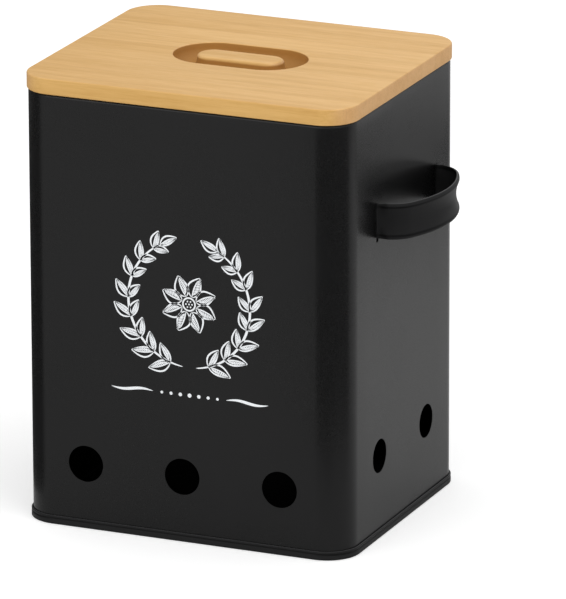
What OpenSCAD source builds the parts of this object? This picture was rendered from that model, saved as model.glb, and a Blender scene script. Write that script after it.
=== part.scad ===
// Potato storage bin: a folded sheet metal can with a double seamed base, dished strap
// handles and a lift-off bamboo lid. Millimetres, Z up, front towards -Y.
// The origin is the middle of the base, on the surface that the bin stands on.

/* [Can] */
// Width of the can, over its side walls
body_w = 182; // [165:1:260]
// Depth of the can, over its front and back walls
body_d = 155; // [146:1:240]
// Overall height with the lid on
total_h = 240; // [215:1:320]
// Outside radius of the upright corners
corner_r = 17; // [14:0.5:24]
// Thickness of the can's sheet metal
sheet_t = 0.3; // [0.25:0.05:0.45]
// Clearance between folded layers of sheet
fold_gap = 0.04; // [0.03:0.01:0.08]
// Outside radius of the curl along the top rim
rim_r = 1.4; // [1.1:0.1:1.8]
// How far round the rim curl is rolled, in degrees
rim_turn = 255; // [200:5:270]

/* [Base] */
// Height of the double seam round the base
seam_h = 4.6; // [3.8:0.1:6]
// Inside radius of the tight folds along the foot of the seam
foot_fold_r = 0.15; // [0.08:0.01:0.3]
// Height of the base panel's underside above the standing surface
panel_z = 5.6; // [4:0.1:8]
// Inside radius of the bend between the panel and its chuck wall
panel_bend_r = 1.2; // [0.8:0.1:1.6]
// Distance from the can's wall to the middle of the stiffening bead
bead_inset = 8; // [7:0.5:9]
// Inside radius of the stiffening bead
bead_r = 1.1; // [0.7:0.1:1.4]

/* [Vent holes] */
// Diameter of each vent hole in the front and back
front_vent_d = 19.5; // [12:0.5:24]
// Diameter of each vent hole in the sides
side_vent_d = 18; // [12:0.5:24]
// Number of vent holes in the front, and in the back
front_vents = 3; // [1:2:3]
// Distance between vent holes in the front and back
front_pitch = 54.5; // [44:0.5:60]
// Height of the front and back vent holes
front_vent_z = 35; // [26:1:60]
// Number of vent holes in each side
side_vents = 2; // [1:1:2]
// Distance between vent holes in a side
side_pitch = 63; // [40:1:80]
// Height of the side vent holes
side_vent_z = 44; // [26:1:60]

/* [Lock seam] */
// Width of the folded seam up the back wall
lock_w = 6.4; // [5:0.2:9]
// Width of the fine line that the seam leaves outside
lock_line_w = 0.5; // [0.3:0.1:0.8]
// Depth of that line
lock_line_t = 0.12; // [0.08:0.02:0.16]
// Clearance between the folded seam's ends and the base panel and rim curl
lock_end_gap = 1; // [0.5:0.1:3]

/* [Strap handles] */
// Distance between the tab bends at a handle's two ends
handle_span = 80; // [66:1:88]
// How far a handle stands out from the wall
handle_rise = 24; // [21:0.5:30]
// How far the handles lie behind the middle of the sides
handle_y = 5; // [0:0.5:7]
// Height of a strap's middle line
handle_z = 171; // [120:1:190]
// Height of the strap, over the middles of its rounded edges
strap_h = 19.2; // [17:0.2:26]
// Thickness of the strap's sheet metal
strap_t = 0.6; // [0.5:0.05:0.8]
// Outside radius of the strap's rounded edges
roll_r = 1.6; // [1.4:0.1:2.6]
// How far over each edge is turned, in degrees
roll_turn = 90; // [50:5:120]
// How far the strap's middle is dished in behind its rounded edges
dish = 1.7; // [1:0.1:2]
// Angle between the strap's straight ends and a line square to the wall
leg_lean = 20; // [12:1:30]
// Angle at which the bend runs into the long front curve
front_lean = 62; // [58:1:68]
// Radius of the strap's two bends
bend_r = 15; // [9:0.5:18]
// Length over which the flat end swells into the dished section
form_l = 5; // [4:0.5:9]

/* [Handle tabs] */
// Height of the flat tab at each end of the strap
tab_h = 18.4; // [12:0.2:20]
// Length of each tab on the inside of the wall
tab_l = 9; // [6:0.5:14]
// Radius of the bend in each tab
tab_bend_r = 0.6; // [0.5:0.1:1]
// Clearance behind a tab in its slit
slit_play = 0.25; // [0.15:0.05:0.4]
// How far a slit runs on in front of its tab
slit_lead = 1.8; // [0.5:0.1:2.5]
// How far a slit runs on above its tab
slit_over = 0.5; // [0.3:0.1:2]
// How far a slit runs on below its tab
slit_under = 1.8; // [0.3:0.1:3]

/* [Bamboo lid] */
// Thickness of the bamboo board
board_t = 15; // [13:0.5:20]
// Thickness of the lip that shows above the can
lip_t = 8.6; // [7:0.1:10]
// How far the lip stands out past the can's wall
lip_over = 0.8; // [0.4:0.1:2]
// Gap between the can's rim and the lip
lip_seat = 0.2; // [0.1:0.05:0.3]
// Clearance between the lid's plug and the rim's curl
plug_play = 1; // [0.5:0.1:2]
// Radius of the lid's eased edges
ease_r = 0.9; // [0.5:0.1:1.5]

/* [Lid grip] */
// Length of the grip, over its groove
grip_l = 72.5; // [60:1:90]
// Width of the grip, over its groove
grip_w = 42; // [36:1:50]
// Width of the groove
groove_w = 12.4; // [10:0.2:13]
// Depth of the groove
groove_d = 8.6; // [7.4:0.1:10]
// Radius of the groove's eased outer edge
groove_ease_r = 0.6; // [0.3:0.1:0.6]
// Radius of the island's rounded edge
island_r = 2.2; // [0.6:0.1:2.6]

/* [Hidden] */
$fn = 96;

// Cuts run this far past the faces that they open
past = 1;

// Sheet layers of the double seam, measured outwards from the can's outer face
cover_hook_u = fold_gap;
body_hook_u = 2 * fold_gap + sheet_t;
seam_wall_u = 3 * fold_gap + 2 * sheet_t;
chuck_u = -fold_gap - 2 * sheet_t;

// Folds of the double seam: the can's hook at the foot, and the pan's hook at the top
hook_fold_r = sheet_t / 2 + fold_gap;
low_fold_u = fold_gap + sheet_t / 2;
low_fold_z = 2.5 * sheet_t + 2 * fold_gap;
high_fold_u = 2 * fold_gap + 1.5 * sheet_t;
high_fold_z = seam_h - hook_fold_r - sheet_t;

// The rim under the lid's lip, and the mouth inside its curl
rim_z = total_h - lip_t - lip_seat;
mouth_u = -2 * rim_r;

// The groove's round bottom begins below the mouth's rounded edges
bottom_z = groove_w / 2 - groove_d;
mouth_wall = 0.1;
shoulder_r = min(island_r, -bottom_z - mouth_wall);

// The flat middle that is left inside a swept border
core_r = 1;
border_u = core_r - corner_r;

// The lock seam stands beside the middle of the back, clear of the vent holes
lock_x = front_pitch / 2;
lock_layers = 4;

// Strap path in plan, on the face of its dished web, with x away from the wall's outer
// face and y along it. Tab bend, leg, bend and half the front curve together run from
// the tab to the handle's rise, and over half its span.
leg_way = [cos(leg_lean), sin(leg_lean)];
tab_x = -sheet_t - fold_gap;
leg_start = [tab_x, -handle_span / 2] + tab_bend_r * [1 - leg_way.y, leg_way.x];
front_part = [1 - sin(front_lean), cos(front_lean)];
reach = [handle_rise - dish, 0] - leg_start
    - bend_r * [sin(front_lean) - leg_way.y, leg_way.x - cos(front_lean)];
leg_l = (reach.x * front_part.y - reach.y * front_part.x)
    / (leg_way.x * front_part.y - leg_way.y * front_part.x);
front_r = (reach.y - leg_l * leg_way.y) / front_part.y;
form_run = min(form_l, leg_l - tab_bend_r);

// Strap section: two rounded edges joined by a dished web, on arcs that meet tangentially
roll_z = strap_h / 2 - roll_r;
roll_u = dish - roll_r;
web_r = (roll_z ^ 2 + roll_u ^ 2 - roll_r ^ 2) / (2 * dish);
web_angle = asin(roll_z / (web_r + roll_r));

// Steps along each stretch of the strap, and round each stretch of its section
tab_steps = 4;
leg_steps = 6;
bend_steps = 5;
front_steps = 6;
roll_steps = 7;
web_steps = 5;

// A slit runs past the tab on all sides, measured where the leg crosses the wall
cross_y = leg_start.y + leg_way.y * (strap_t * leg_way.y - leg_start.x) / leg_way.x;
slit_y = cross_y - slit_lead;
slit_w = slit_lead + strap_t * leg_way.x + slit_play;
slit_z = handle_z - tab_h / 2 - slit_under;
slit_h = tab_h + slit_over + slit_under;

// A rounded rectangle, built of bars and discs so that its corners are true arcs
module plate_outline(w, d, r) {
    square([w - 2 * r, d], center = true);
    square([w, d - 2 * r], center = true);
    for (x = [-1, 1], y = [-1, 1])
        translate([x * (w / 2 - r), y * (d / 2 - r)]) circle(r);
}

// Carries a profile round a rounded rectangle. The profile's x runs outwards from the
// outline, and its y is height.
module carry_round(w, d, r) {
    for (turn = [0 : 90 : 270]) {
        across = turn % 180 == 0;
        run = (across ? w : d) - 2 * r;
        if (run > 0)
            rotate(turn) translate([run / 2, (across ? -d : -w) / 2, 0])
                rotate([90, 0, -90]) linear_extrude(run) children();
    }
    for (x = [-1, 1], y = [-1, 1])
        translate([x * (w / 2 - r), y * (d / 2 - r), 0]) rotate(atan2(y, x) - 45)
            rotate_extrude(angle = 90) translate([r, 0]) children();
}

// A wedge from one angle to another, wide enough to cover a disc of the given radius
module wedge(r, from, to) {
    steps = ceil((to - from) / 60);
    polygon([[0, 0], for (i = [0 : steps])
        let (a = from + (to - from) * i / steps) 2 * r * [cos(a), sin(a)]]);
}

// Sheet bent round an arc, from one angle to another
module bent_sheet(inner_r, t, from, to) {
    intersection() {
        difference() {
            circle(inner_r + t);
            circle(inner_r);
        }
        wedge(inner_r + t, from, to);
    }
}

// Rounds a profile's corner that points along x and y, when it is cut away there
module corner_cut(x, y, r) {
    scale([x, y]) difference() {
        translate([-r, -r]) square(r + past);
        translate([-r, -r]) circle(r);
    }
}

// Wall, rim curl and the hook that the base is seamed to
module can_profile() {
    translate([-sheet_t, low_fold_z]) square([sheet_t, rim_z - rim_r - low_fold_z]);
    translate([-rim_r, rim_z - rim_r]) bent_sheet(rim_r - sheet_t, sheet_t, 0, rim_turn);
    translate([low_fold_u, low_fold_z]) bent_sheet(hook_fold_r, sheet_t, 180, 360);
    translate([body_hook_u, low_fold_z]) square([sheet_t, high_fold_z - low_fold_z]);
}

// The folded layers up the inside of the back wall, where the sheet's two edges lock
module lock_fold() {
    low_z = panel_z + sheet_t + lock_end_gap;
    high_z = rim_z - 2 * rim_r - lock_end_gap;
    depth = (lock_layers - 0.5) * sheet_t;
    translate([lock_x, body_d / 2 - sheet_t / 2 - depth / 2, low_z])
        linear_extrude(high_z - low_z) plate_outline(lock_w, depth, sheet_t);
}

module lock_line() {
    translate([lock_x + lock_w / 2 - lock_line_w, body_d / 2 - lock_line_t, seam_h])
        cube([lock_line_w, lock_line_t + past, rim_z - rim_r - seam_h]);
}

// One row of vent holes through a wall that faces -Y
module vent_row(count, pitch, z, d) {
    for (i = [0 : count - 1])
        translate([(i - (count - 1) / 2) * pitch, 0, z]) rotate([90, 0, 0])
            cylinder(h = 2 * (sheet_t + past), d = d, center = true);
}

module vents() {
    for (turn = [0, 180]) {
        rotate(turn) translate([0, -body_d / 2, 0])
            vent_row(front_vents, front_pitch, front_vent_z, front_vent_d);
        rotate(turn + 90) translate([0, -body_w / 2, 0])
            vent_row(side_vents, side_pitch, side_vent_z, side_vent_d);
    }
}

// The two slits of the right handle
module slits() {
    for (y = [0, 1])
        translate([body_w / 2 - sheet_t - past, handle_y, slit_z]) mirror([0, y, 0])
            translate([0, slit_y, 0]) cube([sheet_t + 2 * past, slit_w, slit_h]);
}

module can_wall() {
    color("#2e2e30") difference() {
        union() {
            carry_round(body_w, body_d, corner_r) can_profile();
            lock_fold();
        }
        lock_line();
        vents();
        slits();
        mirror([1, 0, 0]) slits();
    }
}

// Seam folded round the can's hook, with a flat foot that the bin stands on
module seam_profile() {
    foot_from = chuck_u + sheet_t + foot_fold_r;
    foot_to = seam_wall_u - foot_fold_r;
    foot_top = sheet_t + foot_fold_r;
    translate([cover_hook_u, low_fold_z]) square([sheet_t, high_fold_z - low_fold_z]);
    translate([high_fold_u, high_fold_z]) bent_sheet(hook_fold_r, sheet_t, 0, 180);
    translate([seam_wall_u, foot_top]) square([sheet_t, high_fold_z - foot_top]);
    translate([foot_to, foot_top]) bent_sheet(foot_fold_r, sheet_t, 270, 360);
    translate([foot_from, 0]) square([foot_to - foot_from, sheet_t]);
    translate([foot_from, foot_top]) bent_sheet(foot_fold_r, sheet_t, 180, 270);
    translate([chuck_u, foot_top]) square([sheet_t, panel_z - panel_bend_r - foot_top]);
}

// Bend above the chuck wall, and the panel's border with its stiffening bead
module panel_profile() {
    bend_u = chuck_u - panel_bend_r;
    bead_u = -bead_inset;
    translate([bend_u, panel_z - panel_bend_r]) bent_sheet(panel_bend_r, sheet_t, 0, 90);
    translate([bead_u + bead_r, panel_z]) square([bend_u - bead_u - bead_r, sheet_t]);
    translate([bead_u, panel_z]) bent_sheet(bead_r, sheet_t, 0, 180);
    translate([border_u, panel_z]) square([bead_u - bead_r - border_u, sheet_t]);
}

// The flat middle of a plate whose border is swept
module core_plate(z, t) {
    translate([0, 0, z]) linear_extrude(t)
        plate_outline(body_w + 2 * border_u, body_d + 2 * border_u, core_r);
}

module base_pan() {
    color("#29292b") {
        carry_round(body_w, body_d, corner_r) {
            seam_profile();
            panel_profile();
        }
        core_plate(panel_z, sheet_t);
    }
}

// Directions from an arc's middle, in plan or in section
function way(angle) = [cos(angle), sin(angle)];

function arc_points(middle, r, from, to, steps) =
    [for (i = [0 : steps]) middle + r * way(from + (to - from) * i / steps)];

// One face of the formed strap from lower to upper rounded edge, as [out, up]. Inset is
// 0 for the outer face and the sheet's thickness for the inner one.
function formed_side(inset) = concat(
    arc_points([roll_u, -roll_z], roll_r - inset, -roll_turn, web_angle, roll_steps),
    [for (i = [1 : web_steps - 1]) [web_r, 0]
        + (web_r + inset) * way(180 + web_angle * (1 - 2 * i / web_steps))],
    arc_points([roll_u, roll_z], roll_r - inset, -web_angle, roll_turn, roll_steps));

// Place of each point of a face along its length, 0 at the lower end and 1 at the upper
face_places =
    let (
        roll_run = roll_r * (roll_turn + web_angle),
        web_run = 2 * web_r * web_angle,
        share = roll_run / (2 * roll_run + web_run)
    )
    concat(
        [for (i = [0 : roll_steps]) share * i / roll_steps],
        [for (i = [1 : web_steps - 1]) share + (1 - 2 * share) * i / web_steps],
        [for (i = [0 : roll_steps]) 1 - share * (1 - i / roll_steps)]);

// One face of the flat tab, with its points at the same places
function flat_side(inset) = [for (place = face_places) [-inset, tab_h * (place - 0.5)]];

function turned_back(list) = [for (i = [len(list) - 1 : -1 : 0]) list[i]];

// The section as a closed loop: outer face upwards, inner face downwards
formed_loop = concat(formed_side(0), turned_back(formed_side(strap_t)));
flat_loop = concat(flat_side(0), turned_back(flat_side(strap_t)));

// A smooth rise from 0 to 1
function swell(x) = let (t = min(max(x, 0), 1)) t * t * (3 - 2 * t);

// Stations from a tab's end to the handle's middle: [x, y, facing, share formed]
function half_path() =
    let (
        leg_face = leg_lean - 90,
        front_face = front_lean - 90,
        tab_middle = leg_start + tab_bend_r * way(leg_face),
        leg_end = leg_start + leg_l * leg_way,
        bend_middle = leg_end - bend_r * way(leg_face),
        front_middle = [handle_rise - dish - front_r, 0],
        station = function (p, face, formed) [p.x, p.y, face, formed]
    )
    concat(
        [station([tab_x, -handle_span / 2 - tab_l], 0, 0)],
        [for (i = [0 : tab_steps]) let (face = leg_face * i / tab_steps)
            station(tab_middle - tab_bend_r * way(face), face, 0)],
        [for (i = [1 : leg_steps]) let (run = leg_l * i / leg_steps)
            station(leg_start + run * leg_way, leg_face, swell((run - tab_bend_r) / form_run))],
        [for (i = [1 : bend_steps])
            let (face = leg_face + (front_face - leg_face) * i / bend_steps)
            station(bend_middle + bend_r * way(face), face, 1)],
        [for (i = [1 : front_steps]) let (face = front_face * (1 - i / front_steps))
            station(front_middle + front_r * way(face), face, 1)]);

// A strap of sheet metal swept along its path, as one closed skin of triangles
module strap() {
    near = half_path();
    far = [for (i = [len(near) - 2 : -1 : 0]) [near[i].x, -near[i].y, -near[i][2], near[i][3]]];
    path = concat(near, far);
    count = len(flat_loop);
    points = [for (at = path, j = [0 : count - 1])
        let (p = (1 - at[3]) * flat_loop[j] + at[3] * formed_loop[j])
        [at.x + p.x * cos(at[2]), at.y + p.x * sin(at[2]), p.y]];
    skin = [for (i = [0 : len(path) - 2], j = [0 : count - 1])
        let (a = i * count + j, b = i * count + (j + 1) % count)
        each [[a, b, b + count], [a, b + count, a + count]]];
    last = (len(path) - 1) * count;
    ends = [for (j = [0 : count / 2 - 2])
        let (a = j, b = count - 1 - j)
        each [[a, b, a + 1], [a + 1, b, b - 1],
              [last + a, last + a + 1, last + b], [last + a + 1, last + b - 1, last + b]]];
    polyhedron(points, concat(skin, ends), convexity = 8);
}

// The right handle
module handle() {
    color("#242426") translate([body_w / 2, handle_y, handle_z]) strap();
}

// Lip and plug of the lid with their eased edges
module lid_profile() {
    plug_u = mouth_u - plug_play;
    difference() {
        union() {
            translate([border_u, total_h - lip_t]) square([lip_over - border_u, lip_t]);
            translate([border_u, total_h - board_t]) square([plug_u - border_u, board_t]);
        }
        translate([lip_over, total_h]) corner_cut(1, 1, ease_r);
        translate([lip_over, total_h - lip_t]) corner_cut(1, -1, ease_r);
        translate([plug_u, total_h - board_t]) corner_cut(1, -1, ease_r);
    }
}

// Half of the groove's mouth, opened out to a rounded edge
module eased_mouth(r) {
    edge = groove_w / 2 + r;
    difference() {
        translate([0, -r]) square([edge, r + past]);
        translate([edge, -r]) circle(r);
    }
}

// Round-bottomed groove below y = 0, with the island on its -x side
module groove_profile() {
    translate([0, bottom_z]) circle(groove_w / 2);
    translate([-groove_w / 2, bottom_z]) square([groove_w, past - bottom_z]);
    eased_mouth(groove_ease_r);
    mirror([1, 0]) eased_mouth(shoulder_r);
}

module grip_groove() {
    line_l = grip_l - groove_w;
    line_w = grip_w - groove_w;
    translate([0, 0, total_h]) carry_round(line_l, line_w, line_w / 2) groove_profile();
}

module lid() {
    color("#dcb680") difference() {
        union() {
            carry_round(body_w, body_d, corner_r) lid_profile();
            core_plate(total_h - board_t, board_t);
        }
        grip_groove();
    }
}

can_wall();
base_pan();
handle();  // handle_right
mirror([1, 0, 0]) handle();  // handle_left
lid();
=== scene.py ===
"""Looks of a potato storage bin: a coated sheet metal can with a bamboo lid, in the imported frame.

Each sub-assembly is a class that holds its sizes in metres, builds its meshes as parametric
surfaces and dresses them with a procedural finish. The front faces -Y and Z is up.
"""

import logging
import math
from dataclasses import dataclass, field
from enum import Enum
from typing import Callable, Dict, List, Optional, Sequence, Tuple

import bpy
import numpy as np
from mathutils import Matrix, Vector


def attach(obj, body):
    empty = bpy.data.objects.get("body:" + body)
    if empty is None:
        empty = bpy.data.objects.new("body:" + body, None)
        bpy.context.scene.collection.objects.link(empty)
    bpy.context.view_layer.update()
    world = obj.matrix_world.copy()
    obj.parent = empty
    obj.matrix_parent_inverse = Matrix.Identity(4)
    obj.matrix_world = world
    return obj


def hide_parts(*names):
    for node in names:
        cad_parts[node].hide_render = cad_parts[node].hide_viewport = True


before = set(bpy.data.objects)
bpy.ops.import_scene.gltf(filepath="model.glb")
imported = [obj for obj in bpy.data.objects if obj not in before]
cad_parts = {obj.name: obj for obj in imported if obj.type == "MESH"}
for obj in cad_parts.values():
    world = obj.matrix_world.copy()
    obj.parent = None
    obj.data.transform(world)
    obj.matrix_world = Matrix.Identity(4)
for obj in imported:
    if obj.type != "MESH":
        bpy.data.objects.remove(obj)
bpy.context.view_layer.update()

Colour = Tuple[float, float, float]
Array = np.ndarray
LOG = logging.getLogger("potato_bin")
ON_PLANE = 1e-6  # distance within which a point counts as lying on a wall's plane
NOISE_SPREAD = (0.3, 0.7)  # range that most of a noise's factor lies in


class Body(Enum):
    """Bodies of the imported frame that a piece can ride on."""

    BIN = "bin"
    LID = "lid"


class Node(Enum):
    """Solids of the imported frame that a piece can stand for."""

    CAN_WALL = "can_wall"
    BASE_PAN = "base_pan"
    HANDLE_RIGHT = "handle_right"
    HANDLE_LEFT = "handle_left"
    LID = "lid"


class Side(Enum):
    """The two sides of the bin that carry a handle."""

    RIGHT = 1.0
    LEFT = -1.0


# Surfaces


@dataclass
class Surface:
    """A mesh under construction: vertices and four-cornered faces.

    Args:
        points: array of (n, 3) positions in metres.
        quads: array of (m, 4) vertex numbers. A repeated last number makes a triangle.
    """

    points: Array
    quads: Array

    @staticmethod
    def grid(points: Array, close_rows: bool = False, close_columns: bool = False) -> "Surface":
        """Joins a (rows, columns, 3) array of points into a skin.

        Args:
            points: positions, row by row.
            close_rows: whether the last row joins the first.
            close_columns: whether the last column joins the first.

        Returns:
            The skin, facing along (next column) x (next row).
        """
        rows, columns = points.shape[:2]
        number = np.arange(rows * columns).reshape(rows, columns)
        low = number if close_rows else number[:-1]
        high = np.roll(number, -1, axis=0) if close_rows else number[1:]
        low_next, high_next = np.roll(low, -1, axis=1), np.roll(high, -1, axis=1)
        quads = np.stack([low, low_next, high_next, high], axis=-1)
        if not close_columns:
            quads = quads[:, :-1]
        return Surface(points.reshape(-1, 3), quads.reshape(-1, 4))

    @staticmethod
    def join(parts: Sequence["Surface"]) -> "Surface":
        """Puts several surfaces into one, side by side.

        Args:
            parts: the surfaces.

        Returns:
            One surface with all their vertices and faces.
        """
        starts = np.cumsum([0] + [len(part.points) for part in parts[:-1]])
        quads = [part.quads + start for part, start in zip(parts, starts)]
        return Surface(np.concatenate([part.points for part in parts]), np.concatenate(quads))

    def merged(self, grain: float = 2e-7) -> "Surface":
        """Merges vertices that lie on the same spot, and drops faces left without area.

        Args:
            grain: distance within which two vertices count as one.

        Returns:
            The merged surface.
        """
        key = np.round(self.points / grain).astype(np.int64)
        _, first, inverse = np.unique(key, axis=0, return_index=True, return_inverse=True)
        quads = inverse.reshape(-1)[self.quads]
        kept = (quads[:, 0] != quads[:, 2]) & (quads[:, 1] != quads[:, 3])
        return Surface(self.points[first], quads[kept])

    def mirrored(self) -> "Surface":
        """Returns the surface mirrored in the plane x = 0, still facing outwards."""
        return Surface(self.points * [-1.0, 1.0, 1.0], self.quads[:, ::-1])

    def build(self, name: str, material: bpy.types.Material, crease: float = 40.0) -> bpy.types.Object:
        """Makes the Blender object, smooth but for its rims and edges sharper than the crease.

        Args:
            name: the piece's name.
            material: its finish.
            crease: angle in degrees above which an edge stays sharp.

        Returns:
            The object, at the origin.
        """
        faces = [list(dict.fromkeys(quad)) for quad in self.quads.tolist()]
        mesh = bpy.data.meshes.new(name)
        mesh.from_pydata(self.points.tolist(), [], [face for face in faces if len(face) > 2])
        mesh.materials.append(material)
        mesh.shade_smooth()
        mesh.set_sharp_from_angle(angle=math.radians(crease))
        sharp = mesh.attributes.get("sharp_edge") or mesh.attributes.new("sharp_edge", "BOOLEAN", "EDGE")
        folded = np.empty(len(mesh.edges), dtype=bool)
        sharp.data.foreach_get("value", folded)
        sides = np.empty(len(mesh.loops), dtype=np.int32)
        mesh.loops.foreach_get("edge_index", sides)
        sharp.data.foreach_set("value", folded | (np.bincount(sides, minlength=len(folded)) == 1))
        mesh.update()
        piece = bpy.data.objects.new(name, mesh)
        bpy.context.scene.collection.objects.link(piece)
        return piece


def scaled(colour: Colour, share: float) -> Colour:
    """Returns a colour made darker or lighter by a factor."""
    return tuple(share * part for part in colour)


def arc(middle: Sequence[float], radius: float, start: float, end: float, steps: int) -> Array:
    """Points on a flat arc: middle + radius * (cos a, sin a), a running evenly in degrees.

    Args:
        middle: the arc's middle.
        radius: its radius.
        start: first angle.
        end: last angle.
        steps: number of steps between them.

    Returns:
        Array of (steps + 1, 2) points.
    """
    angle = np.radians(np.linspace(start, end, steps + 1))
    return np.asarray(middle) + radius * np.stack([np.cos(angle), np.sin(angle)], axis=1)


def heading(angle: float) -> Array:
    """Returns the unit vector (cos a, sin a) for an angle in degrees."""
    return np.array([math.cos(math.radians(angle)), math.sin(math.radians(angle))])


def moved(point: Array, target: Array, distance: float) -> Array:
    """Returns a point moved by a distance towards another one."""
    way = target - point
    return point + distance * way / np.linalg.norm(way)


def line(start: Sequence[float], end: Sequence[float], steps: int = 1) -> Array:
    """Points on a straight line, the last one left out.

    Args:
        start: first point.
        end: where the line leads.
        steps: number of points.

    Returns:
        Array of (steps, 2) points.
    """
    share = np.arange(steps)[:, None] / steps
    return (1 - share) * np.asarray(start, dtype=float) + share * np.asarray(end, dtype=float)


def carry(path: Array, way: Array, section: Array) -> Array:
    """Carries a section along a flat path.

    A point lies at path + section's first number * way, and the section's second number
    is its height.

    Args:
        path: (n, 2) points.
        way: (n, 2) directions in which the section's first number is measured.
        section: (k, 2) points.

    Returns:
        (k, n, 3) array of points.
    """
    across = path[None] + section[:, None, :1] * way[None]
    height = np.broadcast_to(section[:, None, 1:], across.shape[:2] + (1,))
    return np.concatenate([across, height], axis=-1)


def spin(side: int) -> Array:
    """Matrix that turns rows of (x, y) from the front to another side of the can.

    Args:
        side: 0 for the front, 1 for the right, 2 for the back, 3 for the left.

    Returns:
        Array of (2, 2).
    """
    turn = math.radians(90 * side)
    return np.array([[math.cos(turn), math.sin(turn)], [-math.sin(turn), math.cos(turn)]])


def grid_lines(*parts: Array) -> Array:
    """Puts sets of grid lines in order, each line once.

    Args:
        parts: places of the lines.

    Returns:
        Array of places, rising.
    """
    return np.unique(np.round(np.concatenate(parts), 7))


def sheet_section(middle_line: Array, thickness: float, steps: int = 6) -> Array:
    """Closed section of a sheet from its middle line: both faces, and half-round edges.

    Each face is the middle line moved half the thickness along its normal, which is the
    mean of the two neighbouring stretches' normals.

    Args:
        middle_line: (n, 2) points.
        thickness: of the sheet.
        steps: steps round each edge.

    Returns:
        Array of points, counter-clockwise where the middle line turns left.
    """
    along = np.gradient(middle_line, axis=0)
    along /= np.linalg.norm(along, axis=1, keepdims=True)
    normal = np.stack([along[:, 1], -along[:, 0]], axis=1)
    half = thickness / 2
    first = math.degrees(math.atan2(normal[0, 1], normal[0, 0]))
    last = math.degrees(math.atan2(normal[-1, 1], normal[-1, 0]))
    end_cap = arc(middle_line[-1], half, last, last + 180, steps)[1:-1]
    start_cap = arc(middle_line[0], half, first + 180, first + 360, steps)[1:-1]
    return np.concatenate([middle_line + half * normal, end_cap,
                           (middle_line - half * normal)[::-1], start_cap])


@dataclass(frozen=True)
class RoundedRectangle:
    """Plan of the can, counter-clockwise from the middle of the front.

    Args:
        width: along X.
        depth: along Y.
        radius: of the corners.
        arc_steps: steps round each corner.
        flat_steps: steps along each flat of an even trace.
    """

    width: float
    depth: float
    radius: float
    arc_steps: int = 24
    flat_steps: int = 8

    @property
    def flats(self) -> Tuple[float, float]:
        """Half the length of the front's flat, and of a side's."""
        return self.width / 2 - self.radius, self.depth / 2 - self.radius

    def trace(self, front: Array, right: Array, back: Array, left: Array) -> Tuple[Array, Array]:
        """Points and outward normals all round.

        The flats take the stations given, as distances from each flat's middle in the way
        that the trace runs, and the corners are arcs of even steps.

        Args:
            front: stations on the front flat, inside its ends.
            right: on the right one.
            back: on the back one.
            left: on the left one.

        Returns:
            Arrays of (n, 2) points and (n, 2) normals.
        """
        half_w, half_d = self.flats
        points: List[Array] = []
        normals: List[Array] = []
        for side, (stations, along, out) in enumerate([
                (front, half_w, self.depth / 2), (right, half_d, self.width / 2),
                (back, half_w, self.depth / 2), (left, half_d, self.width / 2)]):
            flat = np.stack([stations, np.full(len(stations), -out)], axis=1)
            corner = arc((along, self.radius - out), self.radius, -90, 0, self.arc_steps)
            corner_way = arc((0, 0), 1, -90, 0, self.arc_steps)
            points.append(np.concatenate([flat, corner]) @ spin(side))
            flat_way = np.tile([0.0, -1.0], (len(stations), 1))
            normals.append(np.concatenate([flat_way, corner_way]) @ spin(side))
        return np.concatenate(points), np.concatenate(normals)

    def even(self) -> Tuple[Array, Array]:
        """A trace whose flats have evenly spaced stations.

        Returns:
            Arrays of (n, 2) points and (n, 2) normals.
        """
        half_w, half_d = self.flats
        long_side = np.linspace(-half_w, half_w, self.flat_steps + 1)[1:-1]
        short_side = np.linspace(-half_d, half_d, self.flat_steps + 1)[1:-1]
        return self.trace(long_side, short_side, long_side, short_side)

    def sweep(self, section: Array) -> Surface:
        """Carries a closed section round the plan.

        Args:
            section: (k, 2) points, as (out from the plan, up).

        Returns:
            The swept skin.
        """
        return Surface.grid(carry(*self.even(), section), close_rows=True, close_columns=True)


# Finishes


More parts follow.
